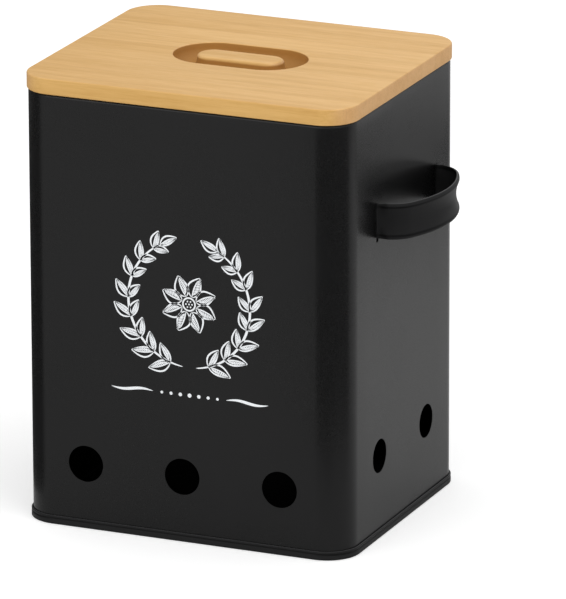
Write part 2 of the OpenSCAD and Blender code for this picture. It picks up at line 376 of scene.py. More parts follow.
class NodeTree:
    """A short way to write shader nodes."""

    def __init__(self, name: str) -> None:
        """Starts the material with its shader.

        Args:
            name: the material's name.
        """
        self.material = bpy.data.materials.new(name)
        self.material.use_nodes = True
        self.tree = self.material.node_tree
        self.shader = self.tree.nodes["Principled BSDF"]

    def add(self, kind: str, inputs: Optional[Dict[object, object]] = None,
            **settings: object) -> bpy.types.Node:
        """Adds a node.

        Args:
            kind: its type name, without the prefix.
            inputs: values, or output sockets to link, by input name or number.
            settings: properties of the node.

        Returns:
            The node.
        """
        node = self.tree.nodes.new("ShaderNode" + kind)
        for key, value in settings.items():
            setattr(node, key, value)
        for key, value in (inputs or {}).items():
            if isinstance(value, bpy.types.NodeSocket):
                self.tree.links.new(value, node.inputs[key])
            else:
                node.inputs[key].default_value = value
        return node

    def math(self, operation: str, *values: object, clamp: bool = False) -> bpy.types.NodeSocket:
        """Adds a Math node.

        Args:
            operation: its operation.
            values: numbers or sockets.
            clamp: whether the result is held between 0 and 1.

        Returns:
            The result's socket.
        """
        node = self.add("Math", dict(enumerate(values)), operation=operation, use_clamp=clamp)
        return node.outputs[0]

    def noise(self, place: object, scale: float, detail: float = 2.0, roughness: float = 0.5,
              distortion: float = 0.0) -> bpy.types.NodeSocket:
        """Adds a Noise Texture.

        Args:
            place: the coordinate socket.
            scale: cells per metre.
            detail: octaves.
            roughness: strength of the finer octaves.
            distortion: how far the pattern is stirred.

        Returns:
            The factor's socket.
        """
        node = self.add("TexNoise", {"Vector": place, "Scale": scale, "Detail": detail,
                                     "Roughness": roughness, "Distortion": distortion})
        return node.outputs["Fac"]

    def ramp(self, value: object, low: float, high: float, to_low: float = 0.0,
             to_high: float = 1.0) -> bpy.types.NodeSocket:
        """Adds a clamped, smooth Map Range.

        Args:
            value: the socket to map.
            low: input that gives to_low.
            high: input that gives to_high.
            to_low: lowest output.
            to_high: highest output.

        Returns:
            The result's socket.
        """
        node = self.add("MapRange", {"Value": value, "From Min": low, "From Max": high,
                                     "To Min": to_low, "To Max": to_high},
                        interpolation_type="SMOOTHSTEP")
        return node.outputs["Result"]

    def mix(self, share: object, first: object, second: object, blend: str = "MIX") -> bpy.types.NodeSocket:
        """Mixes two colours.

        Args:
            share: how much of the second.
            first: colour or socket.
            second: colour or socket.
            blend: blend type.

        Returns:
            The colour's socket.
        """
        node = self.add("Mix", data_type="RGBA", blend_type=blend, clamp_result=True)
        for slot, value in ((0, share), (6, first), (7, second)):
            if isinstance(value, bpy.types.NodeSocket):
                self.tree.links.new(value, node.inputs[slot])
            elif isinstance(value, (int, float)):
                node.inputs[slot].default_value = value
            else:
                node.inputs[slot].default_value = (*value, 1.0)
        return node.outputs[2]

    def bump(self, height: object, distance: float, strength: float = 1.0,
             under: object = None) -> bpy.types.NodeSocket:
        """Adds a Bump node.

        Args:
            height: height socket, 0 to 1.
            distance: depth in metres.
            strength: share of it that shows.
            under: normal of a coarser bump below.

        Returns:
            The normal's socket.
        """
        inputs: Dict[object, object] = {"Height": height, "Distance": distance, "Strength": strength}
        if under is not None:
            inputs["Normal"] = under
        return self.add("Bump", inputs).outputs["Normal"]

    def set(self, **values: object) -> None:
        """Sets or links inputs of the shader, by name with _ for a space.

        Args:
            values: numbers, colours or sockets.
        """
        for key, value in values.items():
            socket = self.shader.inputs[key.replace("_", " ")]
            if isinstance(value, bpy.types.NodeSocket):
                self.tree.links.new(value, socket)
            elif isinstance(value, tuple):
                socket.default_value = (*value, 1.0)
            else:
                socket.default_value = value


@dataclass(frozen=True)
class PowderCoat:
    """Matt black powder coat with a fine orange peel, rubbed along the foot, with painted shade along folds
    and a painted highlight on upward faces where asked.

    Args:
        name: the material's name.
        base: its colour.
        rubbed: colour where it has been handled.
        painted_highlight: colour of the painted highlight on faces that point up.
        roughness: mean roughness.
        spread: how far the roughness varies.
        gloss: specular level.
        painted_highlight_share: share of the painted highlight on what faces straight up.
        grain: bump cells per metre.
        depth: bump depth in metres.
        foot: height up to which the coat is rubbed.
        clouds: patches of handled coat per metre.
        cloud_share: share of the handled colour in a patch.
        specks: specks of it per bump cell.
        speck_share: share of the handled colour in a speck.
        peel: bumps of the coarse peel per bump cell.
        painted_highlight_lean: how squarely up a face points where the painted highlight begins and is full.
        shade_folds: heights of folds along which a line of painted shade lies.
        fold_core: how far from a fold's height the line is full.
        fold_reach: how far from it the line ends.
        fold_shade: how dark the painted shade line gets.
    """

    name: str
    base: Colour = (0.0032, 0.0032, 0.0033)
    rubbed: Colour = (0.0048, 0.0048, 0.0050)
    painted_highlight: Colour = (0.085, 0.085, 0.087)
    roughness: float = 0.29
    spread: float = 0.05
    gloss: float = 0.265
    painted_highlight_share: float = 0.0
    grain: float = 900.0
    depth: float = 1.2e-5
    foot: float = 0.0012
    clouds: float = 14.0
    cloud_share: float = 0.35
    specks: float = 2.2
    speck_share: float = 0.5
    peel: float = 0.35
    painted_highlight_lean: Tuple[float, float] = (0.86, 0.98)
    shade_folds: Tuple[float, ...] = ()
    fold_core: float = 0.0003
    fold_reach: float = 0.0008
    fold_shade: float = 0.65

    def material(self) -> bpy.types.Material:
        """Makes the finish.

        The base colour is mixed with the handled one by broad clouds and by specks, with a paler one along
        the foot, with painted shade along the folds and with a painted highlight on faces that point up. Two
        noises, a coarse peel below a fine grain, make the bump.

        Returns:
            The material.
        """
        tree = NodeTree(self.name)
        place = tree.add("TexCoord").outputs["Object"]
        height = tree.add("SeparateXYZ", {0: place}).outputs["Z"]
        cloud = tree.noise(place, self.clouds, 3.0)
        speck = tree.noise(place, self.grain * self.specks, 2.0)
        handled = tree.ramp(cloud, *NOISE_SPREAD, 0.0, self.cloud_share)
        colour = tree.mix(handled, self.base, self.rubbed)
        colour = tree.mix(tree.ramp(speck, 0.62, 0.8, 0.0, self.speck_share), colour, self.rubbed)
        worn = tree.math("MULTIPLY", tree.ramp(height, self.foot, 0.0), tree.ramp(speck, 0.35, 0.6))
        colour = tree.mix(worn, colour, scaled(self.rubbed, 1.6))
        # painted shade: a dark line at each fold's height, where shade falls in the crease
        for fold in self.shade_folds:
            away = tree.math("ABSOLUTE", tree.math("SUBTRACT", height, fold))
            fold_shade_share = tree.ramp(away, self.fold_reach, self.fold_core, 0.0, self.fold_shade)
            colour = tree.mix(fold_shade_share, colour, scaled(self.base, 0.15))
        # painted highlight: faces that point up are lightened towards the highlight colour
        if self.painted_highlight_share:
            facing = tree.add("SeparateXYZ", {0: tree.add("TexCoord").outputs["Normal"]}).outputs["Z"]
            painted_highlight_mask = tree.ramp(facing, *self.painted_highlight_lean, 0.0, self.painted_highlight_share)
            colour = tree.mix(painted_highlight_mask, colour, self.painted_highlight)
        smooth = self.roughness - self.spread
        rough = tree.math("ADD", tree.ramp(cloud, *NOISE_SPREAD, smooth, self.roughness),
                          tree.ramp(speck, *NOISE_SPREAD, 0.0, self.spread))
        peel = tree.noise(place, self.grain * self.peel, 1.0)
        grain = tree.noise(place, self.grain, 2.0, 0.6)
        normal = tree.bump(grain, self.depth, 0.5, tree.bump(peel, 2 * self.depth, 0.4))
        tree.set(Base_Color=colour, Roughness=rough, Normal=normal, Specular_IOR_Level=self.gloss)
        return tree.material


@dataclass(frozen=True)
class Bamboo:
    """Sanded and oiled bamboo, glued up from strips that run along X.

    Args:
        name: the material's name.
        light: colour of the palest fibres.
        dark: colour of the darkest ones.
        end: colour of the end grain.
        groove_shade_colour: colour of the painted shade in the groove.
        side_tint_and_shade: tint of the strips' outer sides, partly painted shade on faces towards front and
            back.
        strip: width of a strip.
        along: scale of the grain along the strips, as a share of that across them.
        broad: bands of grain per metre.
        fibre: fibres per metre.
        hair: hairlines per metre.
        pores: pores per metre of end grain.
        relief: depth of the grain and of the joints between strips.
        gloss: specular level.
        roughness: lowest and highest roughness.
        joint_edge: where a joint begins, as a share of a strip's width from its middle.
        side_lean: how squarely a side faces where its tint and painted shade begin and are full.
        end_lean: the same for the end grain.
        broad_tone: share of the dark colour in the bands.
        fibre_tone: share of it in the fibres.
        strip_tone: how far one strip's share differs from another's.
        joint_tone: share of the end grain's colour in a joint.
        end_tone: share of it on the lid's ends.
        groove_shade_tone: share of the painted groove shade.
        top: height of the lid's upper face.
        groove_fade: depths at which the painted shade of the groove begins and is full.
        shoulder_fade: the same on faces that stand steeply.
        groove_floor: depths between which it ends, below the groove.
        groove_reach: distances from the lid's middle between which it ends, outside the groove.
    """

    name: str
    light: Colour = (0.82, 0.518, 0.222)
    dark: Colour = (0.675, 0.39, 0.134)
    end: Colour = (0.50, 0.265, 0.12)
    groove_shade_colour: Colour = (0.41, 0.19, 0.04)
    side_tint_and_shade: Colour = (0.89, 0.86, 0.70)
    strip: float = 0.0185
    along: float = 0.045
    broad: float = 210.0
    fibre: float = 1500.0
    hair: float = 5200.0
    pores: float = 1100.0
    relief: float = 3.0e-5
    gloss: float = 0.22
    roughness: Tuple[float, float] = (0.42, 0.56)
    joint_edge: float = 0.485
    side_lean: Tuple[float, float] = (0.5, 0.95)
    end_lean: Tuple[float, float] = (0.35, 0.9)
    broad_tone: float = 0.55
    fibre_tone: float = 0.42
    strip_tone: float = 0.16
    joint_tone: float = 0.34
    end_tone: float = 0.5
    groove_shade_tone: float = 0.85
    top: float = 0.240
    groove_fade: Tuple[float, float] = (0.0010, 0.0024)
    shoulder_fade: Tuple[float, float] = (0.0001, 0.0004)
    groove_floor: Tuple[float, float] = (0.0120, 0.0130)
    groove_reach: Tuple[float, float] = (0.042, 0.045)

    def material(self) -> bpy.types.Material:
        """Makes the finish.

        The share of the dark colour is bands + fibres + one tone for each strip, on noises that are
        stretched along the strips. Over it come hairlines, the joints between strips, the tint of the sides
        with painted shade, pores on the ends and painted shade in the groove.

        Returns:
            The material.
        """
        tree = NodeTree(self.name)
        coordinates = tree.add("TexCoord")
        place = coordinates.outputs["Object"]
        apart = tree.add("SeparateXYZ", {0: place})
        facing = tree.add("SeparateXYZ", {0: coordinates.outputs["Normal"]})
        stretched = tree.add("Mapping", {"Vector": place, "Scale": (self.along, 1.0, 1.0)}).outputs[0]
        number = tree.math("DIVIDE", tree.math("ADD", apart.outputs["Y"], 0.2), self.strip)
        chance = tree.add("TexWhiteNoise", {"W": tree.math("FLOOR", number)}, noise_dimensions="1D")
        across = tree.math("ABSOLUTE", tree.math("SUBTRACT", tree.math("FRACT", number), 0.5))
        joint = tree.ramp(across, self.joint_edge, 0.5)
        broad = tree.noise(stretched, self.broad, 3.0, 0.55, 0.4)
        fibre = tree.noise(stretched, self.fibre, 3.0, 0.65)
        hair = tree.noise(stretched, self.hair, 2.0, 0.6)
        share = tree.math("ADD", tree.ramp(broad, 0.3, 0.72, 0.0, self.broad_tone),
                          tree.ramp(fibre, 0.35, 0.75, 0.0, self.fibre_tone))
        tone = tree.ramp(chance.outputs["Value"], 0.0, 1.0, -self.strip_tone, self.strip_tone)
        colour = tree.mix(tree.math("ADD", share, tone, clamp=True), self.light, self.dark)
        streak = tree.math("MULTIPLY", tree.ramp(hair, 0.6, 0.82, 0.0, 0.5), tree.ramp(broad, 0.45, 0.65))
        colour = tree.mix(streak, colour, scaled(self.dark, 0.72))
        colour = tree.mix(tree.math("MULTIPLY", joint, self.joint_tone), colour, self.end)
        # painted shade: faces towards front and back are darkened and warmed, partly the side grain's own
        # tint
        side_tint_and_shade_mask = tree.ramp(tree.math("ABSOLUTE", facing.outputs["Y"]), *self.side_lean)
        colour = tree.mix(side_tint_and_shade_mask, colour, tree.mix(1.0, colour, self.side_tint_and_shade, "MULTIPLY"))
        grain_end = tree.ramp(tree.math("ABSOLUTE", facing.outputs["X"]), *self.end_lean)
        pores = tree.add("TexVoronoi", {"Vector": place, "Scale": self.pores}).outputs["Distance"]
        end_colour = tree.mix(tree.ramp(pores, 0.15, 0.5), scaled(self.end, 0.86), scaled(self.end, 1.08))
        colour = tree.mix(tree.math("MULTIPLY", grain_end, self.end_tone), colour, end_colour)
        # painted shade: the groove darkens with depth below the top and on its steep walls
        painted_groove_shade = tree.math("MULTIPLY", self.groove_share(tree, place, facing), self.groove_shade_tone)
        colour = tree.mix(painted_groove_shade, colour, self.groove_shade_colour)
        relief = tree.math("ADD", fibre, tree.math("MULTIPLY", hair, 0.6))
        joints = tree.bump(tree.math("SUBTRACT", 1.0, joint), self.relief, 0.5)
        tree.set(Base_Color=colour, Roughness=tree.ramp(fibre, *NOISE_SPREAD, *self.roughness),
                 Normal=tree.bump(relief, self.relief, 0.55, joints), Specular_IOR_Level=self.gloss)
        return tree.material

    def groove_share(self, tree: NodeTree, place: bpy.types.NodeSocket,
                     facing: bpy.types.Node) -> bpy.types.NodeSocket:
        """Adds the share of the painted shade, which darkens the inside of the groove.

        It sets in with the depth below the lid's top, on steep faces first, and ends
        away from the lid's middle and below the groove.

        Args:
            tree: the finish's node tree.
            place: the coordinate socket.
            facing: the node that splits the normal.

        Returns:
            The share's socket.
        """
        depth = tree.math("SUBTRACT", self.top, tree.add("SeparateXYZ", {0: place}).outputs["Z"])
        steep = tree.math("MULTIPLY", tree.ramp(facing.outputs["Z"], 0.55, 0.12),
                          tree.ramp(depth, *self.shoulder_fade))
        flat = tree.add("VectorMath", {0: place, 1: (1.0, 1.0, 0.0)}, operation="MULTIPLY").outputs[0]
        away = tree.add("VectorMath", {0: flat}, operation="LENGTH").outputs["Value"]
        inside = tree.math("MULTIPLY", tree.ramp(away, *self.groove_reach, 1.0, 0.0),
                           tree.ramp(depth, *self.groove_floor, 1.0, 0.0))
        either = tree.math("MAXIMUM", tree.ramp(depth, *self.groove_fade), steep)
        return tree.math("MULTIPLY", either, inside)


@dataclass(frozen=True)
class ChalkInk:
    """Printed ink with the broken tone of chalk.

    Args:
        name: the material's name.
        ink: its colour.
        gap: colour that shows through where the ink is thin.
        crumbs: breaks in the ink per metre.
        drag: strokes of the chalk per metre.
        drag_share: weight of the strokes beside the crumbs.
        thin: sums of both at which the ink begins to thin and is thinnest.
        wear: share of the gap's colour there.
        roughness: of the ink.
        gloss: specular level.
        relief: depth of the crumbs.
    """

    name: str
    ink: Colour = (0.92, 0.945, 0.97)
    gap: Colour = (0.16, 0.17, 0.185)
    crumbs: float = 2600.0
    drag: float = 900.0
    drag_share: float = 0.6
    thin: Tuple[float, float] = (0.92, 1.12)
    wear: float = 0.85
    roughness: float = 0.62
    gloss: float = 0.3
    relief: float = 1.0e-5

    def material(self) -> bpy.types.Material:
        """Makes the finish.

        The gap's colour shows where crumbs + the strokes' weight * slanting strokes is high.

        Returns:
            The material.
        """
        tree = NodeTree(self.name)
        place = tree.add("TexCoord").outputs["Object"]
        crumb = tree.noise(place, self.crumbs, 3.0, 0.7)
        turned = tree.add("Mapping", {"Vector": place, "Rotation": (0.0, 0.7, 0.0),
                                      "Scale": (1.0, 1.0, 0.25)})
        drag = tree.noise(turned.outputs[0], self.drag, 2.0)
        broken = tree.math("ADD", crumb, tree.math("MULTIPLY", drag, self.drag_share))
        thin = tree.ramp(broken, *self.thin, 0.0, self.wear)
        tree.set(Base_Color=tree.mix(thin, self.ink, self.gap), Roughness=self.roughness,
                 Normal=tree.bump(crumb, self.relief, 0.5), Specular_IOR_Level=self.gloss)
        return tree.material


# The can


@dataclass
class CanSizes:
    """Sizes that the can, its seam, its handles and its lid share.

    Args:
        width: over the side walls.
        depth: over the front and back walls.
        radius: outside radius of the upright corners.
        sheet: thickness of the sheet.
        gap: clearance between folded layers.
        rim_top: height of the rim's curl.
        rim_radius: outside radius of the curl.
        seam_height: of the base's double seam.
    """

    width: float = 0.182
    depth: float = 0.155
    radius: float = 0.017
    sheet: float = 0.0003
    gap: float = 0.00004
    rim_top: float = 0.2312
    rim_radius: float = 0.0014
    seam_height: float = 0.0046

    @property
    def plan(self) -> RoundedRectangle:
        """The can's outline in plan."""
        return RoundedRectangle(self.width, self.depth, self.radius)


@dataclass
class CanWall:
    """Wall of the can: one skin with round vents, slits, a seam line and a curl on top.

    Args:
        can: shared sizes.
        front_vent: diameter of a front or back vent.
        side_vent: diameter of a side vent.
        cell: half the side of the square patch round a vent.
        vent_steps: steps along each side of that patch.
        front_pitch: distance between front vents.
        front_height: of the front and back vents.
        side_pitch: distance between side vents.
        side_height: of the side vents.
        handles: how far the handles lie behind the middle of the sides.
        slit_in: inner edge of a slit, from the handle's middle.
        slit_out: its outer edge.
        slit_low: its lower end.
        slit_high: its upper end.
        rim_turn: how far the rim is curled, in degrees.
        rim_steps: steps round the curl.
        line_place: middle along X of the fine line that the lock seam leaves outside.
        line_width: of that line.
        line_flat: share of its width that is pressed in fully.
        line_depth: of that line.
        rings: rings of points from a vent's edge to its patch's.
        ring_growth: power by which the rings grow wider.
        flat_steps: even steps along the front's flat, and along a side's.
        upper_rows: even grid lines over the upper part of the wall.
        upper_span: heights between which they lie.
    """

    can: CanSizes
    front_vent: float = 0.0195
    side_vent: float = 0.018
    cell: float = 0.0125
    vent_steps: int = 22
    front_pitch: float = 0.0545
    front_height: float = 0.035
    side_pitch: float = 0.063
    side_height: float = 0.044
    handles: float = 0.005
    slit_in: float = 0.038567
    slit_out: float = 0.041181
    slit_low: float = 0.160
    slit_high: float = 0.1807
    rim_turn: float = 255.0
    rim_steps: int = 22
    line_place: float = 0.0302
    line_width: float = 0.0005
    line_flat: float = 0.8
    line_depth: float = 0.00012
    rings: int = 4
    ring_growth: float = 1.5
    flat_steps: Tuple[int, int] = (8, 6)
    upper_rows: int = 12
    upper_span: Tuple[float, float] = (0.07, 0.225)

    def vents(self) -> List[Tuple[int, float, float, float]]:
        """Lists the vents: three in the front and back, two in each side, evenly about the middle.

        Returns:
            Each vent as (side number, station on that side, height, diameter).
        """
        front = [(side, k * self.front_pitch, self.front_height, self.front_vent)
                 for side in (0, 2) for k in (-1, 0, 1)]
        sides = [(side, k * self.side_pitch / 2, self.side_height, self.side_vent)
                 for side in (1, 3) for k in (-1, 1)]
        return front + sides

    def patch(self, stations: Array, heights: Array, middle: Array, vent: float) -> Array:
        """Ring of points from a vent's edge to the square patch round it.

        Ring j lies at (1 - s) * circle + s * square, s rising from 0 to 1. The square's
        points are the wall's own grid lines there, and the circle's lie straight
        between them and the vent's middle.

        Args:
            stations: grid lines along the side that cross the patch, its edges included.
            heights: grid lines up the side, likewise.
            middle: the vent's middle, as (station, height).
            vent: its diameter.

        Returns:
            (rings, points, 2) array of (station, height).
        """
        low, high = np.full(len(stations) - 1, heights[0]), np.full(len(stations) - 1, heights[-1])
        left, right = np.full(len(heights) - 1, stations[0]), np.full(len(heights) - 1, stations[-1])
        square = np.concatenate([np.stack([stations[:-1], low], 1), np.stack([right, heights[:-1]], 1),
                                 np.stack([stations[:0:-1], high], 1), np.stack([left, heights[:0:-1]], 1)])
        way = square - middle
        circle = middle + vent / 2 * way / np.linalg.norm(way, axis=1, keepdims=True)
        share = (np.linspace(0, 1, self.rings) ** self.ring_growth)[:, None, None]
        return (1 - share) * circle + share * square

    def sides(self) -> List[Array]:
        """Works out the grid lines along each side, so that every opening has lines at its edges.

        Returns:
            Distances from the side's middle, for the front, right, back and left.
        """
        half_w, half_d = self.can.plan.flats
        span = np.linspace(-self.cell, self.cell, self.vent_steps + 1)
        edges = [sign * edge for sign in (-1, 1) for edge in (self.slit_in, self.slit_out)]
        slits = self.handles + np.array(edges)
        long_vents = np.concatenate([span + k * self.front_pitch for k in (-1, 0, 1)])
        side_vents = np.concatenate([span + k * self.side_pitch / 2 for k in (-1, 1)])
        press = np.array([-1.0, -self.line_flat, self.line_flat, 1.0])
        seam = press * self.line_width / 2 - self.line_place
        even_w = np.linspace(-half_w, half_w, self.flat_steps[0] + 1)[1:-1]
        even_d = np.linspace(-half_d, half_d, self.flat_steps[1] + 1)[1:-1]
        return [grid_lines(long_vents, even_w), grid_lines(side_vents, slits, even_d),
                grid_lines(long_vents, seam, even_w), grid_lines(side_vents, -slits, even_d)]

    def heights(self) -> Array:
        """Works out the grid lines up the wall, from the base's hook to the rim's curl.

        Returns:
            Heights, rising.
        """
        can = self.can
        span = np.linspace(-self.cell, self.cell, self.vent_steps + 1)
        marks = [can.gap + 3 * can.sheet, can.seam_height, self.slit_low, self.slit_high,
                 can.rim_top - can.rim_radius]
        return grid_lines(marks, span + self.front_height, span + self.side_height,
                          np.linspace(*self.upper_span, self.upper_rows))

    def sheet(self, sides: List[Array], heights: Array) -> Surface:
        """Builds the wall without openings, with its curl and the lock seam's line pressed in.

        A point lies at plan + out * normal, out being 0 on the wall, minus the line's
        depth in the line, and the curl's own above.

        Args:
            sides: grid lines along each side.
            heights: grid lines up the wall.

        Returns:
            The skin.
        """
        can = self.can
        top = can.rim_top - can.rim_radius
        plan, normal = can.plan.trace(*sides)
        curl = arc((-can.rim_radius, top), can.rim_radius, 0, self.rim_turn, self.rim_steps)[1:]
        section = np.concatenate([np.stack([0 * heights, heights], 1), curl])
        at_line = (abs(plan[:, 1] - can.depth / 2) < ON_PLANE) & (
            abs(plan[:, 0] - self.line_place) < (1 + self.line_flat) / 2 * self.line_width / 2)
        pressed = (section[:, 1] > can.seam_height) & (section[:, 1] < top) & (section[:, 0] == 0)
        points = carry(plan, normal, section)
        points[..., :2] -= self.line_depth * (pressed[:, None] & at_line[None])[..., None] * normal[None]
        return Surface.grid(points, close_columns=True)

    def skin(self) -> Surface:
        """Builds the wall's outer face.

        The wall is a grid of stations round the plan and heights. The squares round the
        vents are left out of it and filled with rings, and the slits stay open.

        Returns:
            The merged skin, open at the vents and slits.
        """
        can, sides, heights = self.can, self.sides(), self.heights()
        wall = self.sheet(sides, heights)
        middle = wall.points[wall.quads].mean(axis=1)
        kept = np.ones(len(middle), dtype=bool)
        parts: List[Surface] = []
        for side, station, height, vent in self.vents():
            out_by = (can.depth if side % 2 == 0 else can.width) / 2
            seen = middle[:, :2] @ spin(side).T
            kept &= ~((abs(seen[:, 1] + out_by) < ON_PLANE) & (abs(seen[:, 0] - station) < self.cell)
                      & (abs(middle[:, 2] - height) < self.cell))
            near = sides[side][abs(sides[side] - station) < self.cell + ON_PLANE]
            level_near = heights[abs(heights - height) < self.cell + ON_PLANE]
            ring = self.patch(near, level_near, np.array([station, height]), vent)[::-1]
            flat = np.stack([ring[..., 0], np.full(ring.shape[:2], -out_by)], axis=-1) @ spin(side)
            parts.append(Surface.grid(np.concatenate([flat, ring[..., 1:]], axis=-1), close_columns=True))
        beside = abs(middle[:, 1] - self.handles)
        at_side = abs(abs(middle[:, 0]) - can.width / 2) < ON_PLANE
        kept &= ~(at_side & (beside > self.slit_in) & (beside < self.slit_out)
                  & (middle[:, 2] > self.slit_low) & (middle[:, 2] < self.slit_high))
        return Surface.join([Surface(wall.points, wall.quads[kept])] + parts).merged()

    def make(self, coat: bpy.types.Material, lining_painted_shade: bpy.types.Material) -> bpy.types.Object:
        """Builds the wall with its sheet's thickness, and stands it for its solid.

        Args:
            coat: the finish outside.
            lining_painted_shade: the finish inside, a matt lacquer darkened as painted shade.

        Returns:
            The piece.
        """
        piece = self.skin().build("can_wall_sheet", coat)
        piece.data.materials.append(lining_painted_shade)
        solid = piece.modifiers.new("sheet", "SOLIDIFY")
        solid.thickness = self.can.sheet
        solid.offset = -1.0
        solid.material_offset = 1
        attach(piece, Body.BIN.value)
        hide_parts(Node.CAN_WALL.value)
        return piece


@dataclass
class LockSeam:
    """The folded seam up the back, a rib on the inside.

    Args:
        can: shared sizes.
        place: its middle along X.
        width: of the rib.
        depth: of the rib, inwards.
        low: lower end.
        high: upper end.
        edge_steps: steps round each long edge.
    """

    can: CanSizes
    place: float = 0.02725
    width: float = 0.0064
    depth: float = 0.0012
    low: float = 0.0069
    high: float = 0.2274
    edge_steps: int = 10

    def make(self, coat: bpy.types.Material) -> bpy.types.Object:
        """Builds the rib inside the back wall.

        Its section is a flat bar with rounded long edges, run up the wall.

        Args:
            coat: the finish.

        Returns:
            The piece.
        """
        round_r = self.depth / 2
        back = self.can.depth / 2 - self.can.sheet - round_r
        reach = self.width / 2 - round_r
        section = np.concatenate([arc((self.place + reach, back), round_r, -90, 90, self.edge_steps),
                                  arc((self.place - reach, back), round_r, 90, 270, self.edge_steps)])
        rows = np.array([self.low, self.high])
        flat = np.broadcast_to(section[None], (2,) + section.shape)
        level = np.broadcast_to(rows[:, None, None], (2, len(section), 1))
        rib = Surface.grid(np.concatenate([flat, level], axis=-1), close_columns=True)
        piece = rib.build("lock_seam_rib", coat)
        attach(piece, Body.BIN.value)
        return piece


@dataclass
class BasePan:
    """Base panel with its raised middle, bead and double seam.

    Args:
        can: shared sizes.
        panel: height of the panel's underside.
        bend: inside radius of the bend above the chuck wall.
        foot_fold: inside radius of the folds along the foot.
        bead_inset: from the wall to the bead's middle.
        bead: inside radius of the bead.
        bead_lean: angle at which the bead leaves the panel, in degrees.
        dent: how far the seaming roll presses the seam in below its top fold.
        dent_place: height of that dent, as a share of the seam's.
        dent_reach: how far up and down it fades.
        border: how far outside the corners' middles the swept border ends.
        overlap: how far the flat middle reaches over the border.
        fold_steps: steps round the top fold.
        outer_steps: steps down the outer fold.
        foot_steps: steps round each fold along the foot.
        bend_steps: steps round the bend above the chuck wall.
        bead_steps: steps round the bead.
        run_steps: steps along each other straight run.
    """

    can: CanSizes
    panel: float = 0.0056
    bend: float = 0.0012
    foot_fold: float = 0.00015
    bead_inset: float = 0.008
    bead: float = 0.0011
    bead_lean: float = 7.0
    dent: float = 0.00034
    dent_place: float = 0.66
    dent_reach: float = 0.00045
    border: float = 0.001
    overlap: float = 0.0001
    fold_steps: int = 14
    outer_steps: int = 28
    foot_steps: int = 8
    bend_steps: int = 10
    bead_steps: int = 16
    run_steps: int = 4

    def middle_line(self) -> Array:
        """Middle of the sheet, from the hook in the seam to the panel's border.

        Straight runs and arcs follow each other. The outer fold is moved in by
        dent * exp(-((height - dent's height) / reach) ** 2).

        Returns:
            Array of points, as (out, up).
        """
        can, sheet, gap = self.can, self.can.sheet, self.can.gap
        hook_r, hook_low = sheet / 2 + gap, 2.5 * sheet + 2 * gap
        hook_high = can.seam_height - hook_r - sheet
        hook_out, top_out = gap + sheet / 2, 2 * gap + 1.5 * sheet
        outer_out, chuck_out = 3 * gap + 2.5 * sheet, -gap - 1.5 * sheet
        foot_r, foot_high = self.foot_fold + sheet / 2, self.foot_fold + sheet
        bend_out, bend_high = chuck_out - sheet / 2 - self.bend, self.panel - self.bend
        level, end_out = self.panel + sheet / 2, self.border - can.radius
        bead_r, bead_end = self.bead + sheet / 2, 180 - self.bead_lean
        outer = line((outer_out, hook_high), (outer_out, foot_high), self.outer_steps)
        away = (outer[:, 1] - self.dent_place * can.seam_height) / self.dent_reach
        outer[:, 0] -= self.dent * np.exp(-away ** 2)
        return np.concatenate([
            line((hook_out, hook_low), (hook_out, hook_high), self.run_steps // 2),
            arc((top_out, hook_high), hook_r + sheet / 2, 180, 0, self.fold_steps)[:-1],
            outer,
            arc((outer_out - foot_r, foot_high), foot_r, 0, -90, self.foot_steps),
            arc((chuck_out + foot_r, foot_high), foot_r, -90, -180, self.foot_steps),
            line((chuck_out, foot_high + sheet / 2), (chuck_out, bend_high), self.run_steps),
            arc((bend_out, bend_high), self.bend + sheet / 2, 0, 90, self.bend_steps),
            line((bend_out - sheet, level), (bead_r - self.bead_inset, level), self.run_steps),
            arc((-self.bead_inset, self.panel), bead_r, self.bead_lean, bead_end, self.bead_steps),
            line((-self.bead_inset - bead_r, level), (end_out, level), self.run_steps),
            [(end_out, level)]])

    def make(self, coat: bpy.types.Material, lining_painted_shade: bpy.types.Material) -> bpy.types.Object:
        """Builds the pan, and stands it for its solid.

        The sheet's section is swept round the plan, and both its faces are closed by
        a flat middle. Faces above the panel's underside lie inside the can.

        Args:
            coat: the finish outside.
            lining_painted_shade: the finish inside, a matt lacquer darkened as painted shade.

        Returns:
            The piece.
        """
        sheet = self.can.sheet
        border = self.can.plan.sweep(sheet_section(self.middle_line(), sheet))
        plan, normal = self.can.plan.even()
        rim = plan + (self.border + self.overlap - self.can.radius) * normal
        flats: List[Surface] = []
        for height, step in ((self.panel, -1), (self.panel + sheet, 1)):
            level = np.full((len(rim), 1), height)
            inner = np.concatenate([rim * [0.0, 0.0], level], axis=1)
            outer = np.concatenate([rim, level], axis=1)
            flats.append(Surface.grid(np.stack([outer, inner])[::step], close_columns=True))
        piece = Surface.join([border] + flats).build("base_pan_sheet", coat)
        piece.data.materials.append(lining_painted_shade)
        middle = np.empty(3 * len(piece.data.polygons))
        piece.data.polygons.foreach_get("center", middle)
        inside = middle[2::3] > self.panel + sheet / 2
        piece.data.polygons.foreach_set("material_index", inside.astype(np.int32))
        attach(piece, Body.BIN.value)
        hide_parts(Node.BASE_PAN.value)
        return piece


# Handles


